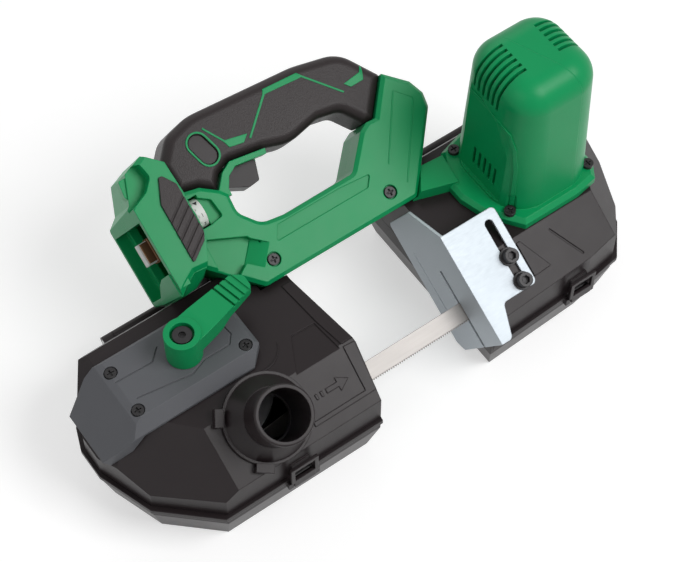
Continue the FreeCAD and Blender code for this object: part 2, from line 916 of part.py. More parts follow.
def guide_pin(x, side):
    pin = body("guide_pin")
    made = sketch(pin, pin_frame(14, side * ROLLER_W))
    ring(made, 0, 0, 2)
    pad(pin, made, 23.5)
    return place(pin, x)


def roller(label, x, side):
    item = body(label)
    made = sketch(item, pin_frame(6.3, side * ROLLER_W))
    ring(made, 0, 0, ROLLER_RADIUS)
    ring(made, 0, 0, 2 + FIT)
    pad(item, made, 13)
    return keep(place(item, x), label)


wheel("drive_wheel", 0, 15, SHAFT_RADIUS)
tyre("drive_tyre", 0)
wheel("idler_wheel", IDLER_X, 18, 13)
tyre("idler_tyre", IDLER_X)
blade()
group("guide_brackets", [guide_bracket(GUIDE_FRONT_X, 12.6), guide_bracket(GUIDE_REAR_X, -10.5)])
group("guide_pins", [guide_pin(x, side) for x in (GUIDE_FRONT_X, GUIDE_REAR_X) for side in (-1, 1)])
for guide_name, guide_x in (("front", GUIDE_FRONT_X), ("rear", GUIDE_REAR_X)):
    roller(guide_name + "_roller_upper", guide_x, 1)
    roller(guide_name + "_roller_lower", guide_x, -1)


# Drive: gear case, shafts, gears

GEAR_LOW = 67.0
CASE_LOW = 59.6
CASE_TOP = size("housing_top") - size("wall") - 0.1
CASE_OUTLINE = [(-25, -22), (-12, -31), (38, -31), (50, -22), (50, 22), (38, 31), (-12, 31), (-25, 22)]


def gear_case():
    item = prism("gear_case", CASE_OUTLINE, 65.5, CASE_TOP - 65.5)
    inside = sketch(item, flat(65.5))
    outline(inside, [(x * 0.86 + 2, y * 0.86) for x, y in CASE_OUTLINE])
    cut(item, inside, 13.5, both=False, up=True)
    hole(item, 0, 0, 9, 65, 30)
    hole(item, size("motor_x"), 0, 7, 65, 30)
    return keep(item, "gear_case")


def gear_plate():
    item = prism("gear_plate", CASE_OUTLINE, CASE_LOW, 65.4 - CASE_LOW)
    hole(item, 0, 0, 14, CASE_LOW - 1, 10)
    hole(item, size("motor_x"), 0, 3.5 + FIT, CASE_LOW - 1, 10)
    return keep(item, "gear_plate")


def drive_shaft():
    steps = [(SHAFT_RADIUS, 38, 40.5), (6, 78, 6.6), (13, RIM_TOP + 0.2, 1.4)]
    return round_piece("drive_shaft", 0, 0, steps)


def drive_gear():
    item = body("drive_gear")
    spur_gear(item, "gear_teeth", GEAR_LOW, 10, math.pi / SIZES["gear_teeth"])
    hole(item, 0, 0, SHAFT_RADIUS, GEAR_LOW - 1, 12)
    return keep(item, "drive_gear")


def hexagon(made, radius):
    corners = [math.radians(60 * step) for step in range(6)]
    outline(made, [(radius * math.cos(turn), radius * math.sin(turn)) for turn in corners])


def drive_nut():
    item = body("drive_nut")
    made = sketch(item, flat(39))
    hexagon(made, 12)
    ring(made, 0, 0, SHAFT_RADIUS)
    pad(item, made, 6)
    return keep(item, "drive_nut")


def pinion():
    item = body("output_pinion")
    spur_gear(item, "pinion_teeth", GEAR_LOW - 0.5, 11, math.pi)
    disc(item, 0, 0, 4.5, GEAR_LOW + 10, 22)
    disc(item, 0, 0, 3.5, CASE_LOW + 0.4, 7)
    return keep(place(item, size("motor_x")), "output_pinion")


gear_case()
gear_plate()
drive_shaft()
drive_gear()
drive_nut()
pinion()


# Blade tension: slider, cam, lever, spring

LEVER_RANGE = 60.0
CAM_RISE = SIZES["slide_travel"] / math.radians(LEVER_RANGE)
CAM_START = 9.0
CAM_LOW = 68.0
FACE_X = CAM_START + 0.3
SPRING_END_X = 42.0
GUIDE_START, GUIDE_SHORT, GUIDE_END = -42.0, -25.0, 48.0


def slider_guide():
    """Two rails under the housing roof with ledges for the slider and the spring's fixed seat."""
    item = body("slider_guide")
    for side, start in ((-1, GUIDE_SHORT), (1, GUIDE_START)):
        made = sketch(item, across(start))
        near, far = 22.15 * side, 30 * side
        ledge = 19 * side
        outline(made, [(far, 57.8), (far, 84.8), (near, 84.8), (near, 59.8), (ledge, 59.8), (ledge, 57.8)])
        pad(item, made, GUIDE_END - start)
    bridge = sketch(item, flat(80))
    outline(bridge, [(GUIDE_START, 30), (GUIDE_START, -8), (GUIDE_SHORT, -30), (GUIDE_END, -30),
                     (GUIDE_END, 30)])
    pad(item, bridge, 4.8)
    hole(item, 0, size("lever_y"), 9, 79, 8)
    seat = sketch(item, flat(67))
    box(seat, SPRING_END_X, SPRING_END_X + 4, -22.4, -2)
    pad(item, seat, 13.5)
    return keep(place(item, IDLER_X), "slider_guide")


def tension_slider():
    item = body("tension_slider")
    made = sketch(item, flat(60))
    box(made, -28, 30, -22, 22)
    pad(item, made, 6)
    face = sketch(item, flat(66))
    box(face, FACE_X, FACE_X + 4, -20, 20)
    pad(item, face, 12)
    hole(item, 0, 0, 6, 59, 10)
    return keep(place(item, IDLER_X), "tension_slider")


def idler_axle():
    """The stub the idler wheel turns on, with its collar and end nut."""
    item = body("idler_axle")
    disc(item, 0, 0, 6, 40, 26)
    disc(item, 0, 0, 13, 58, 1.9)
    nut = sketch(item, flat(38.5))
    hexagon(nut, 12)
    pad(item, nut, 6)
    return keep(place(item, IDLER_X), "idler_axle")


def cam_points():
    """Involute: its distance to a flat face grows evenly with the angle."""
    points = []
    for degrees in (-12, 10, 32, 54, 72):
        turn = math.radians(degrees)
        reach = CAM_START + CAM_RISE * turn
        x = reach * math.cos(turn) - CAM_RISE * math.sin(turn)
        y = reach * math.sin(turn) + CAM_RISE * math.cos(turn)
        points.append(Vector(x, y, 0))
    return points


def cam_shaft():
    item = body("cam_shaft")
    disc(item, 0, 0, 5.5, CAM_LOW, 50)
    disc(item, 0, 0, 7.6, CAM_LOW, 9)
    made = sketch(item, flat(CAM_LOW))
    points = cam_points()
    curve = Part.BSplineCurve()
    curve.interpolate(points)
    made.addGeometry(curve, False)
    corner = Vector(-5, 5, 0)
    made.addGeometry(Part.LineSegment(points[-1], corner), False)
    root = Vector(4, 0, 0)
    made.addGeometry(Part.LineSegment(corner, root), False)
    made.addGeometry(Part.LineSegment(root, points[0]), False)
    pad(item, made, 9)
    hole(item, 0, 0, 2, 106, 13)
    return keep(place(item, IDLER_X, size("lever_y")), "cam_shaft")


LEVER_OUTLINE = [
    (-2, -11.5, 4), (20, -10.5, 6), (57, -6.5, 4), (60, 4, 5), (54, 10, 4), (20, 11, 8), (-2, 11.5, 4),
]


def tension_lever():
    """A tall round boss with a raised arm that ends in a ribbed grip."""
    item = body("tension_lever")
    disc(item, 0, 0, 12, size("tension_top") + 0.5, 24.5)
    arm = sketch(item, flat(size("tension_top") + 9))
    rounded(arm, LEVER_OUTLINE)
    pad(item, arm, 14)
    scoop = sketch(item, end_on(0))
    outline(scoop, [(16, 125), (16, 121), (60, 117), (70, 117), (70, 125)])
    cut(item, scoop)
    under = sketch(item, end_on(0))
    outline(under, [(24, 106), (64, 106), (64, 110.5), (34, 110.5)])
    cut(item, under)
    for step in range(4):
        groove = sketch(item, end_on(0))
        start = 38 + 5 * step
        box(groove, start, start + 1.6, 116.6, 125)
        cut(item, groove)
    hole(item, 0, 0, 5.5, 90, 28)
    hole(item, 0, 0, 8, 118, 8)
    return keep(place(item, IDLER_X, size("lever_y"), 0, Rotation(Vector(0, 0, 1), 13)), "tension_lever")


def lever_screw():
    return round_piece("lever_screw", IDLER_X, size("lever_y"), [(6.4, 118, 3.6), (2, 107, 11.5)],
                       [(2.4, 119.4, 4)])


def tension_spring():
    """One wound wire between the slider face and the fixed seat."""
    start = FACE_X + 4 + SIZES["spring_wire"] / 2 + 0.05
    length = SPRING_END_X - 0.05 - SIZES["spring_wire"] / 2 - start
    turns = SIZES["spring_turns"]
    pitch = length / turns
    radius = SIZES["spring_radius"]
    wire_radius = SIZES["spring_wire"] / 2
    path = Part.makeHelix(pitch, length, radius)
    profile = Part.Wire(Part.makeCircle(wire_radius, Vector(radius, 0, 0), Vector(0, 1, 0)))
    coil = Part.Wire(path).makePipeShell([profile], True, True)
    coil.rotate(Vector(), Vector(0, 1, 0), 90)
    coil.translate(Vector(start - SIZES["wheel_span"], -12, 73))
    print("spring: gap between turns %.2f mm" % (pitch - 2 * wire_radius))
    item = doc.addObject("Part::Feature", "tension_spring")
    item.Shape = coil
    return keep(item, "tension_spring")


PLATE_BACK, PLATE_FRONT = 30.0, -27.5
PLATE_LINES = [
    ((-47, 10.5), (-20, 9.5)), ((-20, 9.5), (-12, 17)), ((-42, -7), (-4, -12.5)), ((-4, -12.5), (8, -8)),
    ((8, -8), (27, -8)), ((27, -8), (32, -2)), ((32, -2), (31, 7)),
]
PLATE_SCREWS = [(-46, 18.5), (-46, -14.2), (35.3, 18.5), (35.3, -14.2)]


def tension_plate():
    """A thick plate on the roof whose front end is folded down over the housing's bevel."""
    item = body("tension_plate")
    made = sketch(item, end_on(PLATE_BACK))
    top = size("tension_top")
    low = size("housing_top") + 0.1
    outline(made, [(44, low), (44, top), (-50, top), (-78.5, 69.5), (-74.2, 64), (-50.1, low)])
    pad(item, made, PLATE_BACK - PLATE_FRONT)
    for side, edge_y in ((1, PLATE_BACK), (-1, PLATE_FRONT)):
        corner = sketch(item, flat(50))
        outline(corner, [(33, edge_y), (45, edge_y - 12 * side), (45, edge_y + side)])
        cut(item, corner, 60, both=False, up=True)
        nose = sketch(item, flat(50))
        outline(nose, [(-60, edge_y), (-80, edge_y - 9 * side), (-80, edge_y + side)])
        cut(item, nose, 60, both=False, up=True)
    soften(item, 3, at_height(SIZES["tension_top"]), "PartDesign::Chamfer")
    slope = sketch(item, across(-90))
    fold, edge = PLATE_FRONT + 8, PLATE_FRONT - 1
    outline(slope, [(edge, 89), (fold, 98), (fold, 102), (edge, 102)])
    cut(item, slope, 150, both=False, up=True)
    score(item, PLATE_LINES, flat(SIZES["tension_top"] - 0.8), 1.0, 0.8)
    hole(item, 0, size("lever_y"), 5.56, 80, 30)
    for x, y in PLATE_SCREWS:
        hole(item, x, y, 4.6, 95, 10)
        hole(item, x, y, 2, 89, 10)
    return keep(place(item, IDLER_X), "tension_plate")


def screw(label, x, y, low, head_low, head_radius, shank_radius, head_height=2.6):
    """One cross-recessed screw standing on Z."""
    item = body(label)
    disc(item, 0, 0, head_radius, head_low, head_height)
    disc(item, 0, 0, shank_radius, low, head_low - low)
    for turn in (0, 90):
        made = sketch(item, (Rotation(Vector(0, 0, 1), turn), (0, 0, head_low + head_height - 1.3)))
        box(made, -head_radius * 0.6, head_radius * 0.6, -0.5, 0.5)
        cut(item, made, 3, both=False, up=True)
    return place(item, x, y)


slider_guide()
tension_slider()
idler_axle()
round_piece("idler_bearing", IDLER_X, 0, [(13, 45.2, 11.6)], [(6 + FIT, 44, 14)])
cam_shaft()
tension_lever()
lever_screw()
tension_spring()
tension_plate()


# Stop plate and dust port

PLATE_LOW_W = 29.6


def stop_plate():
    """A folded steel plate: one flange bolted on the slope, one across the blade with its slot."""
    item = body("stop_plate")
    front = -size("plate_front_x")
    bolted = sketch(item, tilt_at(PLATE_LOW_W))
    outline(bolted, [(front, -29.4), (front + 8.5, -29.4), (front + 16, -6), (-22, -6), (-22, 53),
                     (front, 53)])
    pad(item, bolted, size("plate_thick"))
    stop = sketch(item, tilt_across(front))
    top = PLATE_LOW_W + size("plate_thick")
    outline(stop, [(53, top), (77, 2), (75.6, -40), (-20, -42), (-27, -36), (-29.4, top)])
    pad(item, stop, size("plate_thick"))

    def corner(edge):
        """Short edges across the plate at its free corners, away from the fold."""
        middle = edge.CenterOfMass
        low_edge = TILT_TURN.inverted().multVec(middle).z < 60
        return abs(edge.Length - SIZES["plate_thick"]) < 1e-6 and (middle.x > -60 or low_edge)

    soften(item, 3.5, corner)
    blade_slot = sketch(item, tilt_across(front - 1))
    box(blade_slot, -60, 31.5, -1.9, 1.9)
    cut(item, blade_slot, 6, both=False, up=True)
    crease = sketch(item, tilt_across(front - 1))
    slot(crease, 3, -27, 49, -27, 1.4)
    cut(item, crease, 1.6, both=False, up=True)
    bolt_slot = sketch(item, tilt_at(PLATE_LOW_W - 1))
    slot(bolt_slot, -SIZES["bolt_x"], -2, -SIZES["bolt_x"], 43.5, 6.6)
    cut(item, bolt_slot, 6, both=False, up=True)
    return keep(item, "stop_plate")


def stop_bolts():
    """Two socket-head bolts with washers, in line along the slot."""
    bolts = []
    for step in (0, 1):
        one = body("stop_bolt")
        for radius, low, height in ((3, -8.5, 12), (6.4, 2.6, 1.2), (5, 3.8, 6)):
            made = sketch(one, flat(low))
            ring(made, 0, 0, radius)
            pad(one, made, height)
        key = sketch(one, flat(6.6))
        hexagon(key, 2.9)
        cut(one, key, 5, both=False, up=True)
        spot = tilted_point(-SIZES["bolt_x"], SIZES["bolt_spacing"] * step, SIZES["slope_w"])
        bolts.append(place(one, *spot, TILT_TURN))
    return group("stop_bolts", bolts)


def dust_port():
    """A flared spout that stands square on the sloping face."""
    item = body("dust_port")
    low = 0.3
    long = size("port_length")
    disc(item, 0, 0, 30, low, 3)
    flare = sketch(item, flat(low + 3))
    ring(flare, 0, 0, 28)
    pad(item, flare, 13, taper=-33)
    disc(item, 0, 0, size("port_bore") + 2.4, low + 3, long - 3)
    disc(item, 0, 0, size("port_bore") + 3, long - 5, 5.3)
    soften(item, 1.2, at_height(SIZES["port_length"] + 0.3))
    hole(item, 0, 0, size("port_bore"), 0, long + 2)
    spot = tilted_point(-SIZES["port_x"], SIZES["port_u"], SIZES["slope_w"])
    return keep(place(item, *spot, TILT_TURN), "dust_port")


stop_plate()
stop_bolts()
dust_port()


# Motor

FLANGE_OUTLINE = [(-32, -2), (-27, -20), (-9, -44), (36, -44), (53, -41), (60, -30), (60, 24), (52, 38),
                  (0, 42), (-20, 36), (-32, 14)]
FLANGE_LOW = size("housing_top") + 0.1
FLANGE_TOP = FLANGE_LOW + size("flange_height")
DOME_ROUND = 19.0
VENT_PITCH, VENT_WIDTH = 4.8, 2.4
VENT_OUTLINE = [
    (13, 214), (13, 206.6), (18, 206), (25.3, 201.6), (29.6, 192), (30.4, 183), (45, 183), (45, 214),
]
PANEL_OUTLINE = [(24, 99), (-21, 99), (-22, 146), (-10, 172), (10, 182), (24, 184)]
ARM_OUTLINE = [(-26, 8), (-57, 18), (-57, 35), (-22, 32)]
ARM_END = [(-90, 82.5), (-53.7, 82.5), (-35.7, 104.7), (-13.7, 131.7), (-13.7, 150), (-90, 150)]
PARTING = 22.0


def square(half, corner):
    return [(-half, -half, corner), (half, -half, corner), (half, half, corner), (-half, half, corner)]


def motor_hull(label):
    """The cover before it is parted: flange, tapered body, domed top, vents and side panel."""
    item = body(label)
    flange = sketch(item, flat(FLANGE_LOW))
    outline(flange, [(x - SIZES["motor_x"], y) for x, y in FLANGE_OUTLINE])
    pad(item, flange, size("flange_height"))
    soften(item, 3, at_height(FLANGE_TOP.value), "PartDesign::Chamfer")
    arm = sketch(item, flat(FLANGE_LOW))
    outline(arm, [(x - SIZES["motor_x"], y) for x, y in ARM_OUTLINE])
    pad(item, arm, size("flange_height") + 1.5)
    end = sketch(item, tilt_at(-16))
    outline(end, [(x - SIZES["motor_x"], u) for x, u in ARM_END])
    cut(item, end, 32, both=False, up=True)
    half = SIZES["motor_radius"]
    taper = 2.5
    trunk = sketch(item, flat(FLANGE_TOP - 1))
    rounded(trunk, square(half, 26))
    pad(item, trunk, size("motor_top") - FLANGE_TOP + 1, taper=-taper)
    soften(item, DOME_ROUND, at_height(SIZES["motor_top"]))
    lean = Rotation(Vector(0, 1, 0), taper)
    panel = sketch(item, (lean * ACROSS_TURN, (-SIZES["motor_radius"] - 5.0, 0, 0)))
    outline(panel, PANEL_OUTLINE)
    cut(item, panel, 2.8, both=False, up=True)
    for side in (-1, 1):
        for step in range(6):
            vent = sketch(item, end_on(VENT_PITCH * (step - 2) + VENT_WIDTH / 2))
            outline(vent, [(side * x, z) for x, z in VENT_OUTLINE])
            cut(item, vent, VENT_WIDTH, both=False, up=False)
    for step in range(5):
        low_vent = sketch(item, across(-SIZES["motor_radius"] - 6))
        slot(low_vent, -13 + 5.4 * step, 110, -13 + 5.4 * step, 125, 2.4)
        cut(item, low_vent, 16, both=False, up=True)
    return item


def motor_hollow(label):
    item = body(label)
    disc(item, 0, 0, 32.5, FLANGE_LOW - 5, 86 + 5)
    disc(item, 0, 0, 29, FLANGE_LOW + 80, 30.3)
    return item


def motor_half(label, side):
    """One half of the motor cover, parted on a plane through the motor axis."""
    hull = motor_hull(label + "_hull")
    hollow = motor_hollow(label + "_hollow")
    away = body(label + "_away")
    made = sketch(away, (Rotation(Vector(0, 0, 1), PARTING), (0, 0, 60)))
    box(made, min(0, -side * 120), max(0, -side * 120), -120, 120)
    pad(away, made, 200)
    screws = body(label + "_screws")
    for x, y in MOTOR_SCREWS:
        disc(screws, x - SIZES["motor_x"], y, 5, FLANGE_TOP, 14)
        disc(screws, x - SIZES["motor_x"], y, 2, FLANGE_TOP - 6.5, 8)
    for piece in (hull, hollow, away, screws):
        place(piece, size("motor_x"))
    return subtract(label, hull, [hollow, away, screws])


MOTOR_SCREWS = [(-13, -31), (54, -31), (53, 29), (-13, 31)]


def stator():
    item = body("stator")
    disc(item, 0, 0, 32.45, 120, 40, 17.6)
    for step in range(6):
        angle = math.radians(60 * step + 30)
        hole(item, 23 * math.cos(angle), 23 * math.sin(angle), 4.2, 119, 42)
    return keep(place(item, size("motor_x")), "stator")


def rotor():
    return round_piece("rotor", size("motor_x"), 0, [(4, 106, 92), (17, 122, 36), (8, 158, 6)])


def fan():
    item = body("fan")
    disc(item, 0, 0, 27, 165, 2)
    disc(item, 0, 0, 9, 165, 9)
    for step in range(9):
        made = sketch(item, (Rotation(Vector(0, 0, 1), 40 * step), (0, 0, 166)))
        outline(made, [(7, -1), (26, -5), (26, -3.4), (7, 1)])
        pad(item, made, 8)
    hole(item, 0, 0, 4, 160, 20)
    return keep(place(item, size("motor_x")), "fan")


def shaft_bearings():
    """The bearings of the drive shaft and the one behind the rotor."""
    bore = (SHAFT_RADIUS + FIT, CASE_LOW - 1, 10)
    drive = turned("drive_bearing", 0, 0, [(14, CASE_LOW, 65.4 - CASE_LOW)], [bore])
    bush = turned("drive_bush", 0, 0, [(9, 79.2, 5.6)], [(6 + FIT, 78, 10)])
    motor = turned("motor_bearing", size("motor_x"), 0, [(11, 187.05, 7.7)], [(4 + FIT, 186, 10)])
    return group("shaft_bearings", [drive, bush, motor])


motor_half("motor_cover_front", -1)
motor_half("motor_cover_rear", 1)
stator()
rotor()
fan()
round_piece("planetary_unit", size("motor_x"), 0, [(26.6, 85.1, 3), (25, 88, 24), (12, 112, 4)],
            [(4.5 + FIT, 84, 16), (4 + FIT, 104, 14)])
round_piece("motor_end_plate", size("motor_x"), 0, [(28.95, 186, 5), (13, 190, 8)],
            [(11, 187, 8), (6, 180, 10), (6, 190, 12)])
shaft_bearings()


# Handle, in the tilted frame: local x along X, y up the cutting plane, z across it

BEAM_OUTLINE = [
    (-177, 83, 5), (-54, 83, 5), (-36, 105, 0), (-14, 132, 5), (-12.5, 142, 0), (-17, 153, 0), (-32, 167, 0),
    (-52, 143, 0), (-59, 143.5, 0), (-66, 140, 0), (-86, 118.5, 6), (-141, 118, 0), (-158, 120.5, 12),
    (-169, 134, 10), (-168, 148, 0), (-172, 153, 0), (-183, 161, 0), (-197, 164, 0), (-208, 164, 0),
    (-208, 114, 0),
]
FOOT_OUTLINE = [
    (-198, 186, 0), (-209.5, 197, 0), (-222, 192, 0), (-230, 173, 0), (-239, 166, 0), (-239, 108, 5),
    (-232, 105.2, 0), (-226, 110, 0), (-217, 115, 0), (-207.5, 114, 0), (-198, 133, 0), (-197, 164, 0),
]
LATCH_POCKET = [(-228, 200, 0), (-213, 192, 2), (-211, 182, 5), (-218.5, 174.5, 3), (-234, 168, 0)]
LATCH_OUTLINE = [(-228, 190, 1), (-221, 190, 1), (-219.5, 178, 0), (-226.5, 172.5, 0), (-229.5, 179, 1)]
FOOT_MOUTH = [(-231.3, 16), (-238, -52), (-262, -52), (-262, 16)]
CORNER_POCKET = [
    (-199, 130, 0), (-172, 118, 2), (-170, 115, 0), (-181, 103, 0), (-190, 97.5, 2), (-200, 108, 0),
]
PAD_OUTLINE = [
    (-198.6, 170, 1), (-206, 181, 2), (-214.5, 163, 2), (-215, 120, 1), (-201.5, 129.5, 2), (-198.6, 135, 2),
]
DIAL_POCKET = [(-189, 156.5, 1), (-180.5, 150.5, 2), (-179, 137.5, 2), (-189, 136, 1)]
RIB_OUTLINE = [
    (-168, 147, 0), (-172, 153, 0), (-164, 162, 0), (-156, 166.2, 0), (-130, 162.4, 0), (-131, 158.8, 0),
    (-154, 161.8, 0), (-161, 158, 0), (-165.5, 151, 0), (-166, 146, 0),
]
GRIP_OUTLINE = [
    (-197.8, 186, 1), (-184, 201, 16), (-165, 206, 40), (-84, 201, 60), (-50, 194, 26), (-31.7, 167.4, 1),
    (-52.1, 143.3, 1), (-59, 144, 2), (-70, 159, 10), (-86, 162, 10), (-111, 157, 30), (-131, 163, 4),
    (-156, 166.8, 3), (-165, 162.4, 2), (-172.3, 153.3, 1), (-183, 161.3, 2), (-196.8, 164.3, 1),
]


def half_pad(item, made, height, side, taper=0):
    """Pad from the mid plane outwards on the given side."""
    return pad(item, made, height, down=side < 0, taper=taper)


def half_cut(item, made, depth, side):
    """Cut from the mid plane outwards on the given side."""
    return cut(item, made, depth, both=False, up=side > 0)


def mid(offset=0):
    return flat(size("handle_mid") + offset)


def face_cut(item, corners, face, depth, side):
    """Cut from an outer face inwards."""
    made = sketch(item, mid(side * (face + 1)))
    rounded(made, corners)
    cut(item, made, depth + 1, both=False, up=side < 0)


SCREW_SPOTS = [(-164, 96), (-70, 95)]
SCREW_GRIP = 10.0
SCREW_SHANK = 1.8


def screw_boss(item, x, u, side):
    """A post for a screw: sunk head on the left half, blind thread on the right half."""
    post = sketch(item, mid())
    ring(post, x, u, 6.5)
    half_pad(item, post, size("beam_half") - size("shell_wall") + 0.5, side)
    bore = sketch(item, mid(-side))
    ring(bore, x, u, SCREW_SHANK)
    if side < 0:
        half_cut(item, bore, SCREW_GRIP + 1.5, side)
        return
    half_cut(item, bore, FAR, side)
    recess = sketch(item, mid(size("beam_half") - size("shell_wall")))
    ring(recess, x, u, 5)
    half_cut(item, recess, FAR, side)


def handle_shell(label, side):
    """One half of the green handle shell: beam, pillar, battery foot and trigger guard."""
    item = body(label)
    beam = sketch(item, mid())
    rounded(beam, BEAM_OUTLINE)
    half_pad(item, beam, size("beam_half"), side)
    face_height = SIZES["handle_mid"] + side * SIZES["beam_half"]
    soften(item, 2.5, at_height(face_height), "PartDesign::Chamfer")
    foot = sketch(item, mid())
    rounded(foot, FOOT_OUTLINE)
    half_pad(item, foot, size("foot_half"), side)
    foot_height = SIZES["handle_mid"] + side * SIZES["foot_half"]

    def free_edge(edge):
        """Edges of the foot's outer face, but not those the rubber pad runs up to."""
        return at_height(foot_height)(edge) and edge.CenterOfMass.x < -205

    soften(item, 3, free_edge, "PartDesign::Chamfer")
    if side > 0:
        face_cut(item, LATCH_POCKET, SIZES["foot_half"], 11, side)
        latch = sketch(item, mid(12))
        rounded(latch, LATCH_OUTLINE)
        half_pad(item, latch, 8.5, side)
    mouth = sketch(item, end_on(0))
    outline(mouth, FOOT_MOUTH)
    cut(item, mouth)
    rib = sketch(item, mid(side * 10))
    rounded(rib, RIB_OUTLINE)
    half_pad(item, rib, 9.6, side)
    hollow = sketch(item, mid())
    rounded(hollow, [(-166, 88, 2), (-62, 88, 2), (-21, 136, 3), (-20, 145, 3), (-33, 159, 2), (-52, 137, 2),
                     (-62, 134, 2), (-83, 113, 3), (-166, 113, 2)])
    half_cut(item, hollow, size("beam_half") - size("shell_wall"), side)
    socket = sketch(item, mid())
    rounded(socket, [(-260, 111, 0), (-217, 111, 3), (-217, 160, 3), (-260, 160, 0)])
    half_cut(item, socket, size("foot_half") - size("shell_wall") - 1, side)
    rail = sketch(item, mid(side * 20))
    rounded(rail, [(-229, 110, 0), (-223, 110, 0), (-223, 161, 0), (-229, 161, 0)])
    half_pad(item, rail, 12, side)
    for x, u in SCREW_SPOTS:
        screw_boss(item, x, u, side)
    face_cut(item, [(-156, 105, 1), (-82, 105, 1), (-76, 112.5, 1), (-100, 114.5, 1), (-150, 114.5, 1)],
             SIZES["beam_half"], 1.4, side)
    face_cut(item, CORNER_POCKET, SIZES["beam_half"], 7, side)
    facet = sketch(item, (Rotation(Vector(0, 0, 1), 49) * ACROSS_TURN, (-172.5, 94.8, size("handle_mid"))))
    outer_w = side * SIZES["beam_half"]
    above, deep = outer_w + side * 2, outer_w - side * 7
    outline(facet, [(-0.6, above), (-0.6, outer_w), (12.6, deep), (12.6, above)])
    cut(item, facet, 17, both=False, up=True)
    if side > 0:
        face_cut(item, DIAL_POCKET, SIZES["beam_half"], 4, side)
        dial_seat = sketch(item, mid())
        box(dial_seat, -195.1, -187.9, 136, 158)
        half_cut(item, dial_seat, 60, side)
        axle_bore = sketch(item, (ACROSS_TURN, (-200.5, 0, 0)))
        ring(axle_bore, DIAL_U, DIAL_W, 2 + FIT)
        cut(item, axle_bore, 21, both=False, up=True)
    return keep(place_tilted(item), label)


def grip(label, side):
    """One half of the soft black grip."""
    item = body(label)
    made = sketch(item, mid())
    rounded(made, GRIP_OUTLINE)
    half_pad(item, made, size("grip_half"), side)
    button = sketch(item, mid(-side))
    slot(button, *BUTTON_LOW, *BUTTON_HIGH, BUTTON_WIDTH + 0.6)
    half_cut(item, button, 40, side)
    face_height = SIZES["handle_mid"] + side * SIZES["grip_half"]

    def bare(edge):
        """Edges of the outer face along the back of the hand and under the fingers."""
        middle = edge.CenterOfMass
        by_button = abs(middle.x - BUTTON_LOW[0]) < 9 and middle.y < 197
        along_back = (middle.y > 186 or (middle.x > -50 and middle.y > 170)) and not by_button
        under = -128 < middle.x < -61 and middle.y < 165
        return at_height(face_height)(edge) and (along_back or under)

    soften(item, size("grip_round"), bare)
    hollow = sketch(item, mid())
    rounded(hollow, [(-190, 171, 3), (-180, 193, 5), (-98, 189, 5), (-98, 171, 3), (-130, 170, 2),
                     (-158, 173, 2)])
    half_cut(item, hollow, 14, side)
    way = sketch(item, mid())
    rounded(way, [(-166, 145, 0), (-132.5, 145, 0), (-132.5, 184, 0), (-166, 184, 0)])
    half_cut(item, way, 9, side)
    return keep(place_tilted(item), label)


BUTTON_LOW = (-165.7, 176.5)
BUTTON_HIGH = (-168.7, 186.5)
BUTTON_WIDTH = 12.0


def side_pad(side):
    """A ribbed rubber panel on the side of the battery foot."""
    item = body("side_pad")
    face = side * SIZES["foot_half"]
    made = sketch(item, mid(face))
    rounded(made, PAD_OUTLINE)
    half_pad(item, made, 1.6, side)
    for step in range(5):
        groove = sketch(item, mid(face + side * 0.8))
        start = 121 + 6.5 * step
        slot(groove, -219, start, -196, start + 16, 1.3)
        half_cut(item, groove, 3, side)
    return place_tilted(item)


def trigger():
    item = body("trigger")
    made = sketch(item, mid())
    rounded(made, [(-163, 152, 1.5), (-160, 157, 1), (-154, 161, 1), (-152, 176, 1), (-138, 176, 1),
                   (-137, 158, 2), (-141, 146, 2), (-149, 145, 2)])
    pad(item, made, 17, both=True)
    return keep(place_tilted(item), "trigger")


def lock_button():
    item = body("lock_button")
    made = sketch(item, mid())
    slot(made, *BUTTON_LOW, *BUTTON_HIGH, BUTTON_WIDTH)
    pad(item, made, 36, both=True)
    return keep(place_tilted(item), "lock_button")


DIAL_U, DIAL_W, DIAL_RADIUS = 147.0, -5.0, 10.0


def speed_dial():
    """A thumb wheel with a milled rim, on an axis along X."""
    item = body("speed_dial")
    made = sketch(item, (ACROSS_TURN, (-194.6, 0, 0)))
    ring(made, DIAL_U, DIAL_W, DIAL_RADIUS)
    pad(item, made, 6.2)
    for step in range(12):
        angle = math.radians(30 * step + 15)
        reach = DIAL_RADIUS + 0.5
        notch = sketch(item, (ACROSS_TURN, (-195, 0, 0)))
        ring(notch, DIAL_U + reach * math.cos(angle), DIAL_W + reach * math.sin(angle), 1.1)
        cut(item, notch, 1.6, both=False, up=True)
    axle = sketch(item, (ACROSS_TURN, (-200, 0, 0)))
    ring(axle, DIAL_U, DIAL_W, 2)
    pad(item, axle, 20)
    return keep(place_tilted(item), "speed_dial")


def tilted_block(label, corners, w_low, height):
    item = body(label)
    made = sketch(item, flat(w_low))
    rounded(made, corners)
    pad(item, made, height)
    return keep(place_tilted(item), label)


def body_screws():
    """All the cross-recessed screws: tension plate, motor flange and handle."""
    screws = []
    for x, y in PLATE_SCREWS:
        screws.append(screw("plate_screw", IDLER_X + x, y, 89.5, 95, 4, 2))
    for x, y in MOTOR_SCREWS:
        screws.append(screw("motor_screw", x, y, FLANGE_TOP - 6, FLANGE_TOP, 4, 2))
    seat = SIZES["beam_half"] - SIZES["shell_wall"]
    for x, u in SCREW_SPOTS:
        one = screw("handle_screw", 0, 0, -SCREW_GRIP, seat, 4, SCREW_SHANK)
        screws.append(place(one, *tilted_point(x, u, SIZES["handle_mid"]), TILT_TURN))
    return group("body_screws", screws)


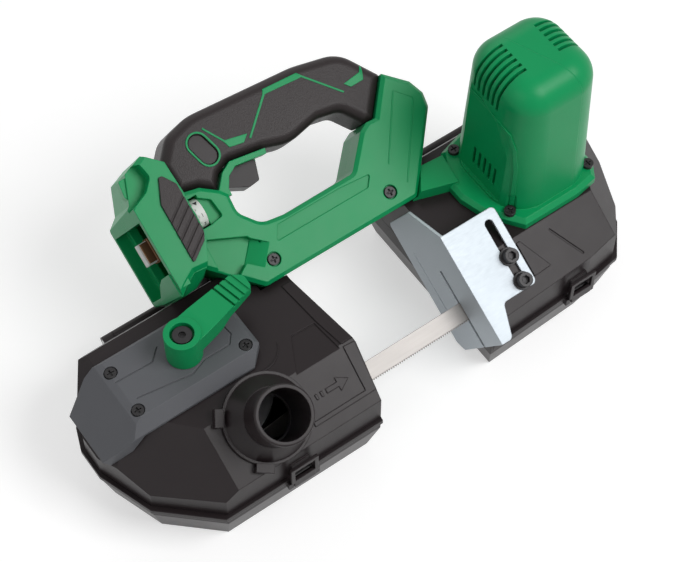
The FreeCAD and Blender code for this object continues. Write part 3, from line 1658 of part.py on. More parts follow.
def contacts():
    """Battery contact blades standing out of the terminal block."""
    blades = []
    for step in range(4):
        one = body("contact")
        made = sketch(one, flat(-26.4 + 5.6 * step))
        rounded(made, [(-227, 132, 0), (-221, 132, 0), (-221, 150, 0), (-227, 150, 0)])
        pad(one, made, 0.8)
        blades.append(place_tilted(one))
    return group("battery_contacts", blades)


handle_shell("handle_shell_left", 1)
handle_shell("handle_shell_right", -1)
grip("grip_left", 1)
grip("grip_right", -1)
group("side_pads", [side_pad(1), side_pad(-1)])
trigger()
lock_button()
speed_dial()
tilted_block("switch_module", [(-130, 171.5, 1), (-101, 171.5, 1), (-101, 188, 1), (-130, 188, 1)], -32, 28)
tilted_block("controller_board", [(-156, 90, 1), (-86, 90, 1), (-86, 111, 1), (-156, 111, 1)], -37, 2)
tilted_block("terminal_block", [(-221, 124, 1), (-217, 124, 0), (-217, 154, 0), (-221, 154, 1)], -32, 28)
contacts()
body_screws()


# Check every object and write the pieces

def check_and_write():
    doc.recompute()
    os.makedirs("parts", exist_ok=True)
    for item in doc.Objects:
        if "Invalid" in item.State or "Error" in item.State:
            raise ValueError("%s did not build: %s" % (item.Label, item.State))
    for item in NODES:
        shape = item.Shape
        if shape.isNull() or not shape.isValid():
            raise ValueError("%s is not a sound solid" % item.Label)
        print("%-24s solids %d volume %10.0f" % (item.Label, len(shape.Solids), shape.Volume))
        shape.exportStep("parts/%s.step" % item.Label)


check_and_write()
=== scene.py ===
import json
import math

import bmesh
import bpy
from mathutils import Matrix, Vector
from mathutils.bvhtree import BVHTree


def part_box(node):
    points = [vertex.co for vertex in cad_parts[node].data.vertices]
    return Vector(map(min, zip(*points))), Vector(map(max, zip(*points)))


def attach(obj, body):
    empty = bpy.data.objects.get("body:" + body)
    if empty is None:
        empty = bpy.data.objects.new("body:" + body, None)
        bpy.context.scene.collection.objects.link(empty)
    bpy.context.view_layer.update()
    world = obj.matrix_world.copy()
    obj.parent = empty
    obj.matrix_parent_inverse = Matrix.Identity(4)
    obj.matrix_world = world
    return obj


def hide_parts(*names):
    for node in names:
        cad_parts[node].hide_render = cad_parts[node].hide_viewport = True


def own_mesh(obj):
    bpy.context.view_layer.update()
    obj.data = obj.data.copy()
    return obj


bl_info = {
    "name": "Portable Band Saw",
    "version": (1, 0, 0),
    "blender": (4, 5, 0),
    "location": "3D View > Sidebar > Band Saw",
    "description": "Dresses the packed frame of a portable band saw with its finishes and small details",
    "category": "Object",
}

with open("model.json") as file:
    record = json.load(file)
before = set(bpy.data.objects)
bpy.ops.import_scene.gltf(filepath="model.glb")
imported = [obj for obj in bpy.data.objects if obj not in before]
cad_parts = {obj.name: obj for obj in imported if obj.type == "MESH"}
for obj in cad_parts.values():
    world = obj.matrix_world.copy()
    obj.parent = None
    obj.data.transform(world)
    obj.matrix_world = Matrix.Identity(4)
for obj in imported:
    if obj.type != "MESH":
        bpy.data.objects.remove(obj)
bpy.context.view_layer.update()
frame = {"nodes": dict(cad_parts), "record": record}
MM = 0.001

# The tilted frame of the handle and the cutting run

WHEEL_SPAN = 250.0
BLADE_RADIUS = 53.625
BLADE_HEIGHT = 49.0
BLADE_WIDTH = 13.0
TWIST_FRONT, TWIST_REAR = -176.0, -45.0
CUT_TILT = math.radians(30.0)
CUT_LINE = Vector((0.0, -BLADE_RADIUS, BLADE_HEIGHT)) * MM
UP_PLANE = Vector((0.0, math.cos(CUT_TILT), math.sin(CUT_TILT)))
OFF_PLANE = Vector((0.0, -math.sin(CUT_TILT), math.cos(CUT_TILT)))
ALONG = Vector((1.0, 0.0, 0.0))


def tilted(x, u, w):
    """A point of the tilted frame, given in millimetres, in the frame of the whole saw."""
    return ALONG * x * MM + CUT_LINE + UP_PLANE * u * MM + OFF_PLANE * w * MM


def tilted_frame(x, u, w):
    """Matrix whose X, Y and Z run along, up and off the cutting plane from a point."""
    turn = Matrix((ALONG, UP_PLANE, OFF_PLANE)).transposed().to_4x4()
    return Matrix.Translation(tilted(x, u, w)) @ turn


# Sizes and colours that a user would change

def colour(label, words, value):
    """A colour that a user may change."""
    return bpy.props.FloatVectorProperty(name=label, description=words, subtype="COLOR", size=3,
                                         min=0.0, max=1.0, default=value)


def length(label, words, value):
    """A length that a user may change."""
    return bpy.props.FloatProperty(name=label, description=words, subtype="DISTANCE", unit="LENGTH",
                                   default=value)


class SawColours(bpy.types.PropertyGroup):
    """Colours of the saw's finishes."""

    green: colour("Shell green", "Moulded shells, motor cover and lever", (0.002, 0.285, 0.092))
    black: colour("Housing black", "Wheel housings, covers and spout", (0.017, 0.0125, 0.0135))
    rubber: colour("Grip black", "Soft grip and pads", (0.021, 0.016, 0.0165))
    grey: colour("Plate grey", "Tension plate", (0.105, 0.108, 0.118))
    zinc: colour("Zinc", "Stop plate", (0.42, 0.455, 0.485))
    blade: colour("Blade steel", "Saw blade", (0.37, 0.352, 0.338))
    steel: colour("Steel", "Shafts, pins, rollers and gears", (0.58, 0.58, 0.59))
    cast: colour("Cast alloy", "Wheels and gear case", (0.64, 0.64, 0.65))
    dark_steel: colour("Black steel", "Bolts and screws", (0.020, 0.019, 0.020))
    pale: colour("Dial white", "Speed dial", (0.78, 0.78, 0.76))
    brass: colour("Contact brass", "Battery contacts", (0.20, 0.11, 0.06))


class SawSizes(bpy.types.PropertyGroup):
    """Sizes of the saw's fine details."""

    edge: length("Edge round", "Radius of the soft edges of moulded pieces", 0.8 * MM)
    inlay_proud: length("Inlay height", "How far inlays and low moulded lines stand proud", 0.35 * MM)
    inlay_depth: length("Inlay depth", "How deep trim is let into its surface", 0.8 * MM)
    ring_proud: length("Ring height", "How far the lip round the lock button stands proud", 0.7 * MM)
    panel_proud: length("Panel edge height", "How far the motor cover's panel edge stands proud", 0.9 * MM)
    block_round: length("Block round", "Radius of the edges of the battery foot's small blocks", 0.5 * MM)
    tooth_pitch: length("Tooth pitch", "Distance between blade teeth", 1.8 * MM)
    tooth_size: length("Tooth size", "Radius of one blade tooth", 0.9 * MM)
    blade_thick: length("Blade thickness", "Thickness of the saw band", 0.65 * MM)


def colours():
    """The saw's colours in this scene."""
    return bpy.context.scene.saw_colours


def sizes():
    """The sizes of the saw's fine details in this scene."""
    return bpy.context.scene.saw_sizes


# Shader maths

class Wire:
    """A node's socket that can be used in arithmetic."""

    def __init__(self, graph, socket):
        self.graph = graph
        self.socket = socket

    def sum_up(self, operation, first, second):
        """A Math node on two values or wires."""
        return self.graph.node("ShaderNodeMath", {"operation": operation}, {0: first, 1: second})

    def __add__(self, other):
        return self.sum_up("ADD", self, other)

    def __radd__(self, other):
        return self.sum_up("ADD", other, self)

    def __sub__(self, other):
        return self.sum_up("SUBTRACT", self, other)

    def __rsub__(self, other):
        return self.sum_up("SUBTRACT", other, self)

    def __mul__(self, other):
        return self.sum_up("MULTIPLY", self, other)

    def __rmul__(self, other):
        return self.sum_up("MULTIPLY", other, self)


class Graph:
    """A node tree and the one method that adds nodes to it."""

    def __init__(self, tree):
        self.tree = tree

    def node(self, kind, settings=None, sockets=None, out=0):
        """Any node: its settings first, then the values or wires of its sockets."""
        made = self.tree.nodes.new(kind)
        for name, value in (settings or {}).items():
            setattr(made, name, value)
        for key, value in (sockets or {}).items():
            self.feed(made.inputs[key], value)
        return Wire(self, made.outputs[out])

    def feed(self, socket, value):
        """Link a wire to a socket, or set a plain value on it."""
        if isinstance(value, Wire):
            self.tree.links.new(value.socket, socket)
        else:
            socket.default_value = value


EDGE_SAMPLES = 6
EDGE_GAIN = 2.5


class Finish(Graph):
    """One material: a Principled shader and the nodes that feed it."""

    def __init__(self, name, constants=None):
        self.material = bpy.data.materials.new(name)
        self.material.use_nodes = True
        super().__init__(self.material.node_tree)
        self.shader = self.tree.nodes["Principled BSDF"]
        for label, value in (constants or {}).items():
            self.shader.inputs[label].default_value = value
        self.place = self.node("ShaderNodeTexCoord", out="Object")
        self.rounded = None

    def set(self, name, value):
        """Give one of the shader's sockets a value or a wire."""
        self.feed(self.shader.inputs[name], value)

    def noise(self, scale, detail=2.0, rough=0.5, place=None):
        """Cloudy noise, with so many spots to the metre."""
        sockets = {"Vector": place or self.place, "Scale": scale, "Detail": detail, "Roughness": rough}
        return self.node("ShaderNodeTexNoise", None, sockets)

    def stretched(self, x, y, z):
        """Object coordinates scaled unevenly, for grain that runs one way."""
        return self.node("ShaderNodeMapping", None, {"Vector": self.place, "Scale": (x, y, z)})

    def blend(self, factor, first, second):
        """Two colours mixed by a factor."""
        return self.node("ShaderNodeMix", {"data_type": "RGBA"}, {0: factor, 6: first, 7: second}, out=2)

    def soft_normal(self):
        """The normal with sharp edges rounded a little, made once."""
        if self.rounded is None:
            settings = {"samples": EDGE_SAMPLES}
            self.rounded = self.node("ShaderNodeBevel", settings, {"Radius": sizes().edge})
        return self.rounded

    def bump(self, height, strength, distance):
        """Fine relief over edges that are rounded a little, as moulded and pressed edges are."""
        sockets = {"Strength": strength, "Distance": distance, "Height": height, "Normal": self.soft_normal()}
        self.set("Normal", self.node("ShaderNodeBump", None, sockets))

    def edge_mask(self):
        """Nought on open faces, rising along sharp edges."""
        plain = self.node("ShaderNodeNewGeometry", out="Normal")
        settings = {"operation": "DOT_PRODUCT"}
        likeness = self.node("ShaderNodeVectorMath", settings, {0: self.soft_normal(), 1: plain}, out="Value")
        return (1.0 - likeness) * EDGE_GAIN


def rgba(value, light=1.0):
    """A colour as a socket takes it, made lighter or darker."""
    return (value[0] * light, value[1] * light, value[2] * light, 1.0)


def neutral(level):
    """A grey without any tint."""
    return rgba((level, level, level))


# Finishes

FLOW_SCALE, HANDLED_SCALE, PEBBLE_SCALE = 22.0, 60.0, 1100.0
# Share and lightness of the painted highlight along the sharp edges of moulded pieces.
EDGE_HIGHLIGHT_SHARE, EDGE_HIGHLIGHT_LIGHT = 0.35, 1.7


def moulded(name, tint, rough, grain, depth, spread=0.10, shine=0.5):
    """Moulded plastic: fine grain from the tool, faint flow of colour, and sharp edges painted lighter as a
    painted highlight.
    """
    made = Finish(name, {"Specular IOR Level": shine})
    flow = made.noise(FLOW_SCALE, 3.0)
    even = made.blend(flow, rgba(tint, 1.0 - spread), rgba(tint, 1.0 + spread))
    # Sharp edges get a lighter base colour: a painted highlight where rounded edges would catch the light.
    edge_highlight = made.edge_mask()
    made.set("Base Color", made.blend(edge_highlight * EDGE_HIGHLIGHT_SHARE, even, rgba(tint, EDGE_HIGHLIGHT_LIGHT)))
    speck = made.noise(grain, 2.0, 0.6)
    handled = made.noise(HANDLED_SCALE, 4.0, 0.65)
    made.set("Roughness", rough - 0.05 + handled * 0.10 + speck * 0.06)
    made.bump(speck, 0.35, depth)
    return made.material


def green_plastic():
    return moulded("green_plastic", colours().green, rough=0.32, grain=2600.0, depth=0.06 * MM,
                   spread=0.07, shine=0.20)


def black_plastic():
    return moulded("black_plastic", colours().black, rough=0.32, grain=2200.0, depth=0.07 * MM, shine=0.20)


def grey_coat():
    return moulded("grey_coat", colours().grey, rough=0.46, grain=3000.0, depth=0.05 * MM,
                   spread=0.08, shine=0.25)


def pale_plastic():
    return moulded("pale_plastic", colours().pale, rough=0.45, grain=2500.0, depth=0.04 * MM,
                   spread=0.04, shine=0.4)


def soft_rubber():
    """Soft grip: close pebbled texture, dull, its tone a little cloudy."""
    made = Finish("soft_rubber", {"Specular IOR Level": 0.22})
    tint = colours().rubber
    sockets = {"Vector": made.place, "Scale": PEBBLE_SCALE, "Smoothness": 0.6}
    pebble = made.node("ShaderNodeTexVoronoi", {"feature": "SMOOTH_F1"}, sockets)
    flow = made.noise(18.0, 3.0)
    made.set("Base Color", made.blend(flow, rgba(tint, 0.85), rgba(tint, 1.25)))
    made.set("Roughness", 0.34 + pebble * 0.16)
    made.bump(1.0 - pebble, 0.5, 0.18 * MM)
    return made.material


def tyre_rubber():
    """Smooth wheel tyre with a faint turned pattern."""
    made = Finish("tyre_rubber")
    lines = made.noise(400.0, 2.0, 0.5, made.stretched(0.1, 0.1, 6.0))
    made.set("Base Color", made.blend(lines, neutral(0.020), rgba((0.035, 0.034, 0.034))))
    made.set("Roughness", 0.6 + lines * 0.2)
    made.bump(lines, 0.3, 0.1 * MM)
    return made.material


def drawn_metal(name, tint, rough, stretch, spread=0.12, depth=0.02 * MM):
    """Bare or plated metal with fine marks along one way."""
    made = Finish(name, {"Metallic": 1.0})
    marks = made.noise(300.0, 3.0, 0.6, made.stretched(*stretch))
    cloud = made.noise(35.0, 3.0, 0.6)
    made.set("Base Color", made.blend(cloud, rgba(tint, 1.0 - spread), rgba(tint, 1.0 + spread * 0.6)))
    made.set("Roughness", rough - 0.08 + marks * 0.16 + cloud * 0.08)
    made.bump(marks, 0.25, depth)
    return made.material


def zinc_plate():
    return drawn_metal("zinc_plate", colours().zinc, rough=0.56, stretch=(0.6, 5.0, 5.0), spread=0.06)


def blade_steel():
    return drawn_metal("blade_steel", colours().blade, rough=0.54, stretch=(0.15, 9.0, 9.0))


def bright_steel():
    return drawn_metal("bright_steel", colours().steel, rough=0.30, stretch=(1.0, 1.0, 6.0))


def cast_alloy():
    return drawn_metal("cast_alloy", colours().cast, rough=0.46, stretch=(3.0, 3.0, 3.0), spread=0.10,
                       depth=0.05 * MM)


def black_steel():
    """Blackened steel with a slight oily sheen."""
    made = Finish("black_steel", {"Metallic": 0.25, "Specular IOR Level": 0.3})
    tint = colours().dark_steel
    cloud = made.noise(500.0, 3.0)
    made.set("Base Color", made.blend(cloud, rgba(tint, 0.8), rgba(tint, 1.6)))
    made.set("Roughness", 0.32 + cloud * 0.14)
    made.bump(cloud, 0.2, 0.03 * MM)
    return made.material


def contact_brass():
    return drawn_metal("contact_brass", colours().brass, rough=0.34, stretch=(1.0, 6.0, 6.0))


def core_steel():
    """Stack of motor laminations: thin level lines."""
    made = Finish("core_steel", {"Metallic": 0.8})
    sockets = {"Vector": made.place, "Scale": 300.0, "Distortion": 0.4}
    band = made.node("ShaderNodeTexWave", {"bands_direction": "Z"}, sockets)
    made.set("Base Color", made.blend(band, rgba((0.16, 0.15, 0.15)), rgba((0.30, 0.29, 0.28))))
    made.set("Roughness", 0.5 + band * 0.15)
    made.bump(band, 0.3, 0.1 * MM)
    return made.material


def dial_ink():
    """Dark print on the dial."""
    made = Finish("dial_ink", {"Specular IOR Level": 0.3})
    cloud = made.noise(900.0, 2.0)
    made.set("Base Color", made.blend(cloud, rgba((0.020, 0.020, 0.022)), rgba((0.035, 0.034, 0.036))))
    made.set("Roughness", 0.5 + cloud * 0.1)
    return made.material


def dark_electrics():
    return moulded("dark_electrics", (0.030, 0.030, 0.032), rough=0.5, grain=1800.0, depth=0.05 * MM)


RECIPES = {
    "green_shell": green_plastic,
    "black_plastic": black_plastic,
    "grip_rubber": soft_rubber,
    "tyre_rubber": tyre_rubber,
    "grey_plate": grey_coat,
    "zinc_steel": zinc_plate,
    "blade_steel": blade_steel,
    "bright_steel": bright_steel,
    "black_steel": black_steel,
    "cast_aluminium": cast_alloy,
    "core_steel": core_steel,
    "pale_plastic": pale_plastic,
    "dark_electrics": dark_electrics,
    "contact_brass": contact_brass,
}
FINISHES = {}


def finish(slot):
    """The material of a record slot, made once."""
    if slot not in FINISHES:
        FINISHES[slot] = RECIPES[slot]()
    return FINISHES[slot]


NODE_SLOT = {entry["node"]: entry["material_slot"] for entry in frame["record"]["subparts"]}


# Pieces

MERGE_GAP = 0.001 * MM


def piece(name, mesh, slot, body):
    """A finished object of the scene that rides on a body."""
    mesh.materials.clear()
    mesh.materials.append(finish(slot))
    item = bpy.data.objects.new(name, mesh)
    bpy.context.scene.collection.objects.link(item)
    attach(item, body)
    return item


def closed_mesh(name, shape):
    """A bmesh with its faces turned outwards, as a mesh."""
    bmesh.ops.recalc_face_normals(shape, faces=shape.faces)
    mesh = bpy.data.meshes.new(name)
    shape.to_mesh(mesh)
    shape.free()
    return mesh


def solid_piece(name, shape, slot, body="frame"):
    """A bmesh as a finished piece."""
    return piece(name, closed_mesh(name, shape), slot, body)


def skinned(rows):
    """A closed block through rings of points, as a bmesh."""
    shape = bmesh.new()
    rings = [[shape.verts.new(spot) for spot in row] for row in rows]
    shape.faces.new(rings[0])
    shape.faces.new(rings[-1])
    count = len(rows[0])
    for below, above in zip(rings, rings[1:]):
        for index in range(count):
            after = (index + 1) % count
            shape.faces.new((below[index], below[after], above[after], above[index]))
    return shape


def surface_of(node):
    """Search tree of the outside of a CAD piece."""
    mesh = frame["nodes"][node].data
    corners = [corner.co.copy() for corner in mesh.vertices]
    return BVHTree.FromPolygons(corners, [list(face.vertices) for face in mesh.polygons])


def landing(surface, spot, way):
    """Where a line from a spot meets a surface."""
    hit = surface.ray_cast(spot, way)[0]
    if hit is None:
        raise ValueError("no surface in front of %s" % spot)
    return hit


def stepped(points, steps, closed=False):
    """Points at even steps along each stretch of an outline."""
    ends = points[1:] + points[:1] if closed else points[1:]
    made = []
    for first, last in zip(points, ends):
        for step in range(steps):
            part = step / steps
            made.append((first[0] + (last[0] - first[0]) * part, first[1] + (last[1] - first[1]) * part))
    return made if closed else made + [points[-1]]


STRIP_STEPS = 10


def strip(shape, surface, rails, start, proud, closed=False):
    """A thin inlay between two rails, laid on a surface seen from the start frame's +Z, into a bmesh."""
    up = start.to_3x3() @ Vector((0.0, 0.0, 1.0))
    top, low = [], []
    for rail in rails:
        spots = [landing(surface, start @ Vector((x * MM, y * MM, 0.0)), -up)
                 for x, y in stepped(rail, STRIP_STEPS, closed)]
        top.append([shape.verts.new(spot + up * proud) for spot in spots])
        low.append([shape.verts.new(spot - up * sizes().inlay_depth) for spot in spots])
    count = len(top[0])
    for index in range(count if closed else count - 1):
        after = (index + 1) % count
        shape.faces.new((top[0][index], top[0][after], top[1][after], top[1][index]))
        shape.faces.new((low[0][index], low[1][index], low[1][after], low[0][after]))
        for side in (0, 1):
            shape.faces.new((top[side][index], low[side][index], low[side][after], top[side][after]))
    if not closed:
        for index in (0, count - 1):
            shape.faces.new((top[0][index], top[1][index], low[1][index], low[0][index]))


HANDLE_MID = -18.0
HANDLE_REACH = 60.0


def handle_frames():
    """Frames that look at the handle's two sides: X along the saw and Y up the handle on both."""
    left = tilted_frame(0.0, 0.0, HANDLE_MID + HANDLE_REACH)
    right = tilted_frame(0.0, 0.0, HANDLE_MID - HANDLE_REACH) @ Matrix.Scale(-1.0, 4, (0.0, 0.0, 1.0))
    return {"left": left, "right": right}


# Grip inlays, as pairs of rails of (x, up the handle) in millimetres

LONG_INLAY = (
    [(-135.8, 173.3), (-112.6, 194.1), (-110.9, 197.0), (-84.6, 195.6), (-82.2, 192.6), (-61.3, 169.2)],
    [(-134.8, 172.3), (-111.6, 192.8), (-111.3, 193.3), (-84.0, 191.4), (-83.0, 191.4), (-62.3, 168.4)],
)
BUTTON_INLAY = (
    [(-160.3, 194.1), (-151.4, 179.9), (-151.2, 179.8), (-135.5, 176.4)],
    [(-161.2, 193.3), (-152.3, 178.9), (-150.8, 174.2), (-140.6, 172.3)],
)
REAR_INLAY = (
    [(-42.4, 178.9), (-45.2, 175.3), (-59.0, 173.6)],
    [(-41.2, 178.5), (-45.2, 169.6), (-55.5, 169.4)],
)
BUTTON_LOW = (-165.7, 176.5)
BUTTON_HIGH = (-168.7, 186.5)
RING_INNER, RING_OUTER = 6.7, 8.0
RING_STEPS = 12


def slot_outline(low, high, radius):
    """Points round a slot between two centres."""
    lean = math.atan2(high[1] - low[1], high[0] - low[0])
    points = []
    for centre, start in ((high, lean - math.pi / 2), (low, lean + math.pi / 2)):
        for step in range(RING_STEPS + 1):
            angle = start + math.pi * step / RING_STEPS
            points.append((centre[0] + radius * math.cos(angle), centre[1] + radius * math.sin(angle)))
    return points


def grip_inlays(side, start):
    """The green lines let into one side of the grip."""
    surface = surface_of("grip_" + side)
    shape = bmesh.new()
    for rails in (LONG_INLAY, BUTTON_INLAY, REAR_INLAY):
        strip(shape, surface, rails, start, sizes().inlay_proud)
    return solid_piece("grip_inlays_" + side, shape, "green_shell")


def button_ring(side, start):
    """The green lip round the lock button."""
    surface = surface_of("grip_" + side)
    shape = bmesh.new()
    rails = [slot_outline(BUTTON_LOW, BUTTON_HIGH, radius) for radius in (RING_INNER, RING_OUTER)]
    strip(shape, surface, rails, start, sizes().ring_proud, closed=True)
    return solid_piece("button_ring_" + side, shape, "green_shell")


# Battery foot, as outlines of (x, up the handle) and levels off the cutting plane in millimetres

FOOT_WALL = [(-232.0, 107.2), (-226.0, 112.0), (-217.0, 117.0), (-206.5, 116.2), (-201.5, 124.0)]
FLANK_HIGH = [(-232.0, 105.0), (-226.0, 109.6), (-217.0, 114.6), (-208.2, 113.6), (-203.6, 121.0)]
FLANK_LOW = [(-232.0, 104.4), (-226.0, 104.4), (-217.0, 105.2), (-209.6, 108.7), (-203.6, 114.5)]
FLANK_TOP, FLANK_EDGE, FLANK_FOOT = 12.0, -4.0, -45.0
SEAT_OUTLINE = [(-224.0, 104.3), (-197.5, 104.3), (-207.5, 114.0), (-218.0, 113.0)]
SEAT_FOOT, SEAT_TOP = -44.0, -30.0

MOUTH_BLOCK = [(105.5, 12.0), (122.0, 12.0), (121.5, -6.0), (118.5, -14.0), (112.0, -24.0), (106.0, -30.0)]
MOUTH_NEAR, MOUTH_SLOPE, MOUTH_BACK, MOUTH_FLOOR = -232.6, 0.0985, -225.0, 111.0

HOLDER_OUTLINE = [(-233.0, 133.0), (-221.0, 133.0), (-221.0, 149.0), (-233.0, 149.0)]
PLATE_OUTLINE = [(-232.0, 134.2), (-221.4, 134.2), (-221.4, 148.4), (-232.0, 148.4)]
HOLDER_LOW, HOLDER_TOP, PLATE_TOP = -30.0, -20.0, -19.4


def eased(shape, radius):
    """The same block with every edge rounded a little."""
    bmesh.ops.bevel(shape, geom=shape.edges[:], offset=radius, segments=2, affect="EDGES", profile=0.5)
    return shape


def at_level(outline, level):
    """An outline of (x, up the handle) at one level of the tilted frame."""
    return [tilted(x, up, level) for x, up in outline]


def foot_flank():
    """The sloping underside of the battery foot, down to the front housing."""
    inner = FOOT_WALL[::-1]
    rows = [at_level(FLANK_LOW + inner, FLANK_FOOT), at_level(FLANK_LOW + inner, FLANK_EDGE),
            at_level(FLANK_HIGH + inner, FLANK_TOP)]
    return solid_piece("foot_flank", skinned(rows), "green_shell")


def foot_seat():
    """The black shoulder of the front housing that the foot's flank stands on."""
    shape = skinned([at_level(SEAT_OUTLINE, SEAT_FOOT), at_level(SEAT_OUTLINE, SEAT_TOP)])
    return solid_piece("foot_seat", shape, "black_plastic")


def mouth_block():
    """The stop at the lower end of the battery mouth, flush with the foot's slanting end."""
    near = [tilted(MOUTH_NEAR - (FLANK_TOP - level) * MOUTH_SLOPE, up, level) for up, level in MOUTH_BLOCK]
    back = [tilted(MOUTH_BACK, max(up, MOUTH_FLOOR), level) for up, level in MOUTH_BLOCK]
    shape = eased(skinned([near, back]), sizes().block_round)
    return solid_piece("mouth_block", shape, "green_shell")


def contact_holder():
    """The pale holder of the battery contacts and the contact plate on it."""
    for name, outline, low, high, slot in (
            ("contact_holder", HOLDER_OUTLINE, HOLDER_LOW, HOLDER_TOP, "pale_plastic"),
            ("contact_plate", PLATE_OUTLINE, HOLDER_TOP, PLATE_TOP, "contact_brass")):
        shape = skinned([at_level(outline, low), at_level(outline, high)])
        eased(shape, min(sizes().block_round, (high - low) * MM / 3))
        solid_piece(name, shape, slot)


# Speed dial marks, in millimetres and degrees

DIAL_CENTRE = (-191.0, 147.0, -5.0)
DIAL_RADIUS = 10.0
POINTER = [(-1.6, -1.3), (1.6, -1.3), (0.0, 1.7)]
POINTER_TURN, NUMBER_TURN, NUMBER_STEP = 52.0, 104.0, 40.0
FIGURES = 5
FIGURE_SIZE = 3.6
MARK_DEPTH = 0.12


def dial_spot(aside, turn, out):
    """A point on the dial's rim: aside along its axis, turned from the handle's up."""
    radius = DIAL_RADIUS + out
    return tilted(DIAL_CENTRE[0] + aside, DIAL_CENTRE[1] + radius * math.cos(turn),
                  DIAL_CENTRE[2] + radius * math.sin(turn))


def wrap_on_rim(shape, turn):
    """Lay a flat shape, in millimetres, round the dial's rim; its height becomes lift off the rim."""
    for corner in shape.verts:
        aside, along, lift = corner.co
        corner.co = dial_spot(aside, turn + along / DIAL_RADIUS, lift)


def raised_text(words):
    """Figures as a flat solid centred on the origin, in millimetres."""
    letters = bpy.data.curves.new("figure", "FONT")
    letters.body = words
    letters.size = FIGURE_SIZE
    letters.extrude = MARK_DEPTH
    letters.align_x = "CENTER"
    letters.align_y = "CENTER"
    holder = bpy.data.objects.new("figure", letters)
    bpy.context.scene.collection.objects.link(holder)
    graph = bpy.context.evaluated_depsgraph_get()
    mesh = bpy.data.meshes.new_from_object(holder.evaluated_get(graph))
    bpy.data.objects.remove(holder)
    return mesh


def figure_on_rim(shape, words, turn):
    """Add a figure to the marks, laid round the dial's rim."""
    one = bmesh.new()
    one.from_mesh(raised_text(words))
    wrap_on_rim(one, turn)
    flat = bpy.data.meshes.new("figure")
    one.to_mesh(flat)
    one.free()
    shape.from_mesh(flat)


def dial_marks():
    """A pointer and the figures 1 to 5 round the dial's rim."""
    shape = skinned([[(x, y, level) for x, y in POINTER] for level in (-MARK_DEPTH, MARK_DEPTH)])
    wrap_on_rim(shape, math.radians(POINTER_TURN))
    for figure in range(FIGURES):
        figure_on_rim(shape, str(figure + 1), math.radians(NUMBER_TURN + NUMBER_STEP * figure))
    bmesh.ops.remove_doubles(shape, verts=shape.verts, dist=MERGE_GAP)
    item = solid_piece("dial_marks", shape, "dark_electrics", "speed_dial")
    item.data.materials[0] = dial_ink()
    return item


# Blade teeth

EDGE_STEPS = 24
TEETH_INPUTS = ("Pitch", "Tooth size", "Thickness")


def wheel_arc(centre, start):
    """The toothed edge half way round a wheel, where it points straight down."""
    low = BLADE_HEIGHT - BLADE_WIDTH / 2
    down = Vector((0.0, 0.0, -1.0))
    arc = []
    for step in range(EDGE_STEPS + 1):
        angle = math.radians(start + 180.0 * step / EDGE_STEPS)
        spot = Vector((centre + BLADE_RADIUS * math.cos(angle), BLADE_RADIUS * math.sin(angle), low))
        arc.append((spot, down))
    return arc


def blade_edge():
    """The toothed edge of the band as a closed loop: (point, way out of the edge) at small steps."""
    loop = wheel_arc(0.0, -90.0) + wheel_arc(-WHEEL_SPAN, 90.0)
    full = math.pi / 2 - CUT_TILT
    parts = [step / EDGE_STEPS for step in range(EDGE_STEPS)]
    for part in parts[1:]:
        loop.append(twisted_spot(-WHEEL_SPAN + (TWIST_FRONT + WHEEL_SPAN) * part, full * ease(part)))
    for part in parts:
        loop.append(twisted_spot(TWIST_FRONT + (TWIST_REAR - TWIST_FRONT) * part, full))
    for part in parts:
        loop.append(twisted_spot(TWIST_REAR - TWIST_REAR * part, full * ease(1.0 - part)))
    return loop


def ease(part):
    """From 0 to 1 with a gentle start and end."""
    return 3.0 * part ** 2 - 2.0 * part ** 3


def twisted_spot(x, angle):
    """The toothed edge at a place on the cutting side, where the band has turned by an angle."""
    out = Vector((0.0, -math.sin(angle), -math.cos(angle)))
    return Vector((x, -BLADE_RADIUS, BLADE_HEIGHT)) + out * BLADE_WIDTH / 2, out


def edge_path():
    """The loop as a wire mesh that keeps the way out of the edge on its points."""
    loop = blade_edge()
    count = len(loop)
    mesh = bpy.data.meshes.new("blade_edge")
    mesh.from_pydata([spot * MM for spot, out in loop], [(i, (i + 1) % count) for i in range(count)], [])
    outward = mesh.attributes.new("outward", "FLOAT_VECTOR", "POINT")
    for index, (spot, out) in enumerate(loop):
        outward.data[index].vector = out
    return mesh


def one_tooth(graph, size, thickness):
    """A three-sided tooth as thick as the band, with its point along Z."""
    quarter = math.pi / 2
    sockets = {"Vertices": 3, "Radius": size, "Depth": thickness}
    tooth = graph.node("GeometryNodeMeshCylinder", None, sockets)
    for turn in ((0.0, 0.0, quarter), (quarter, 0.0, 0.0)):
        tooth = graph.node("GeometryNodeTransform", None, {"Geometry": tooth, "Rotation": turn})
    return tooth


def edge_turn(graph, points):
    """The rotation at each point that takes Z out of the band and X along it."""
    along = Wire(graph, points.socket.node.outputs["Tangent"])
    settings = {"data_type": "FLOAT_VECTOR"}
    outward = graph.node("GeometryNodeInputNamedAttribute", settings, {"Name": "outward"})
    upright = graph.node("FunctionNodeAlignRotationToVector", {"axis": "Z"}, {"Vector": outward})
    settings = {"axis": "X", "pivot_axis": "Z"}
    return graph.node("FunctionNodeAlignRotationToVector", settings, {"Rotation": upright, "Vector": along})


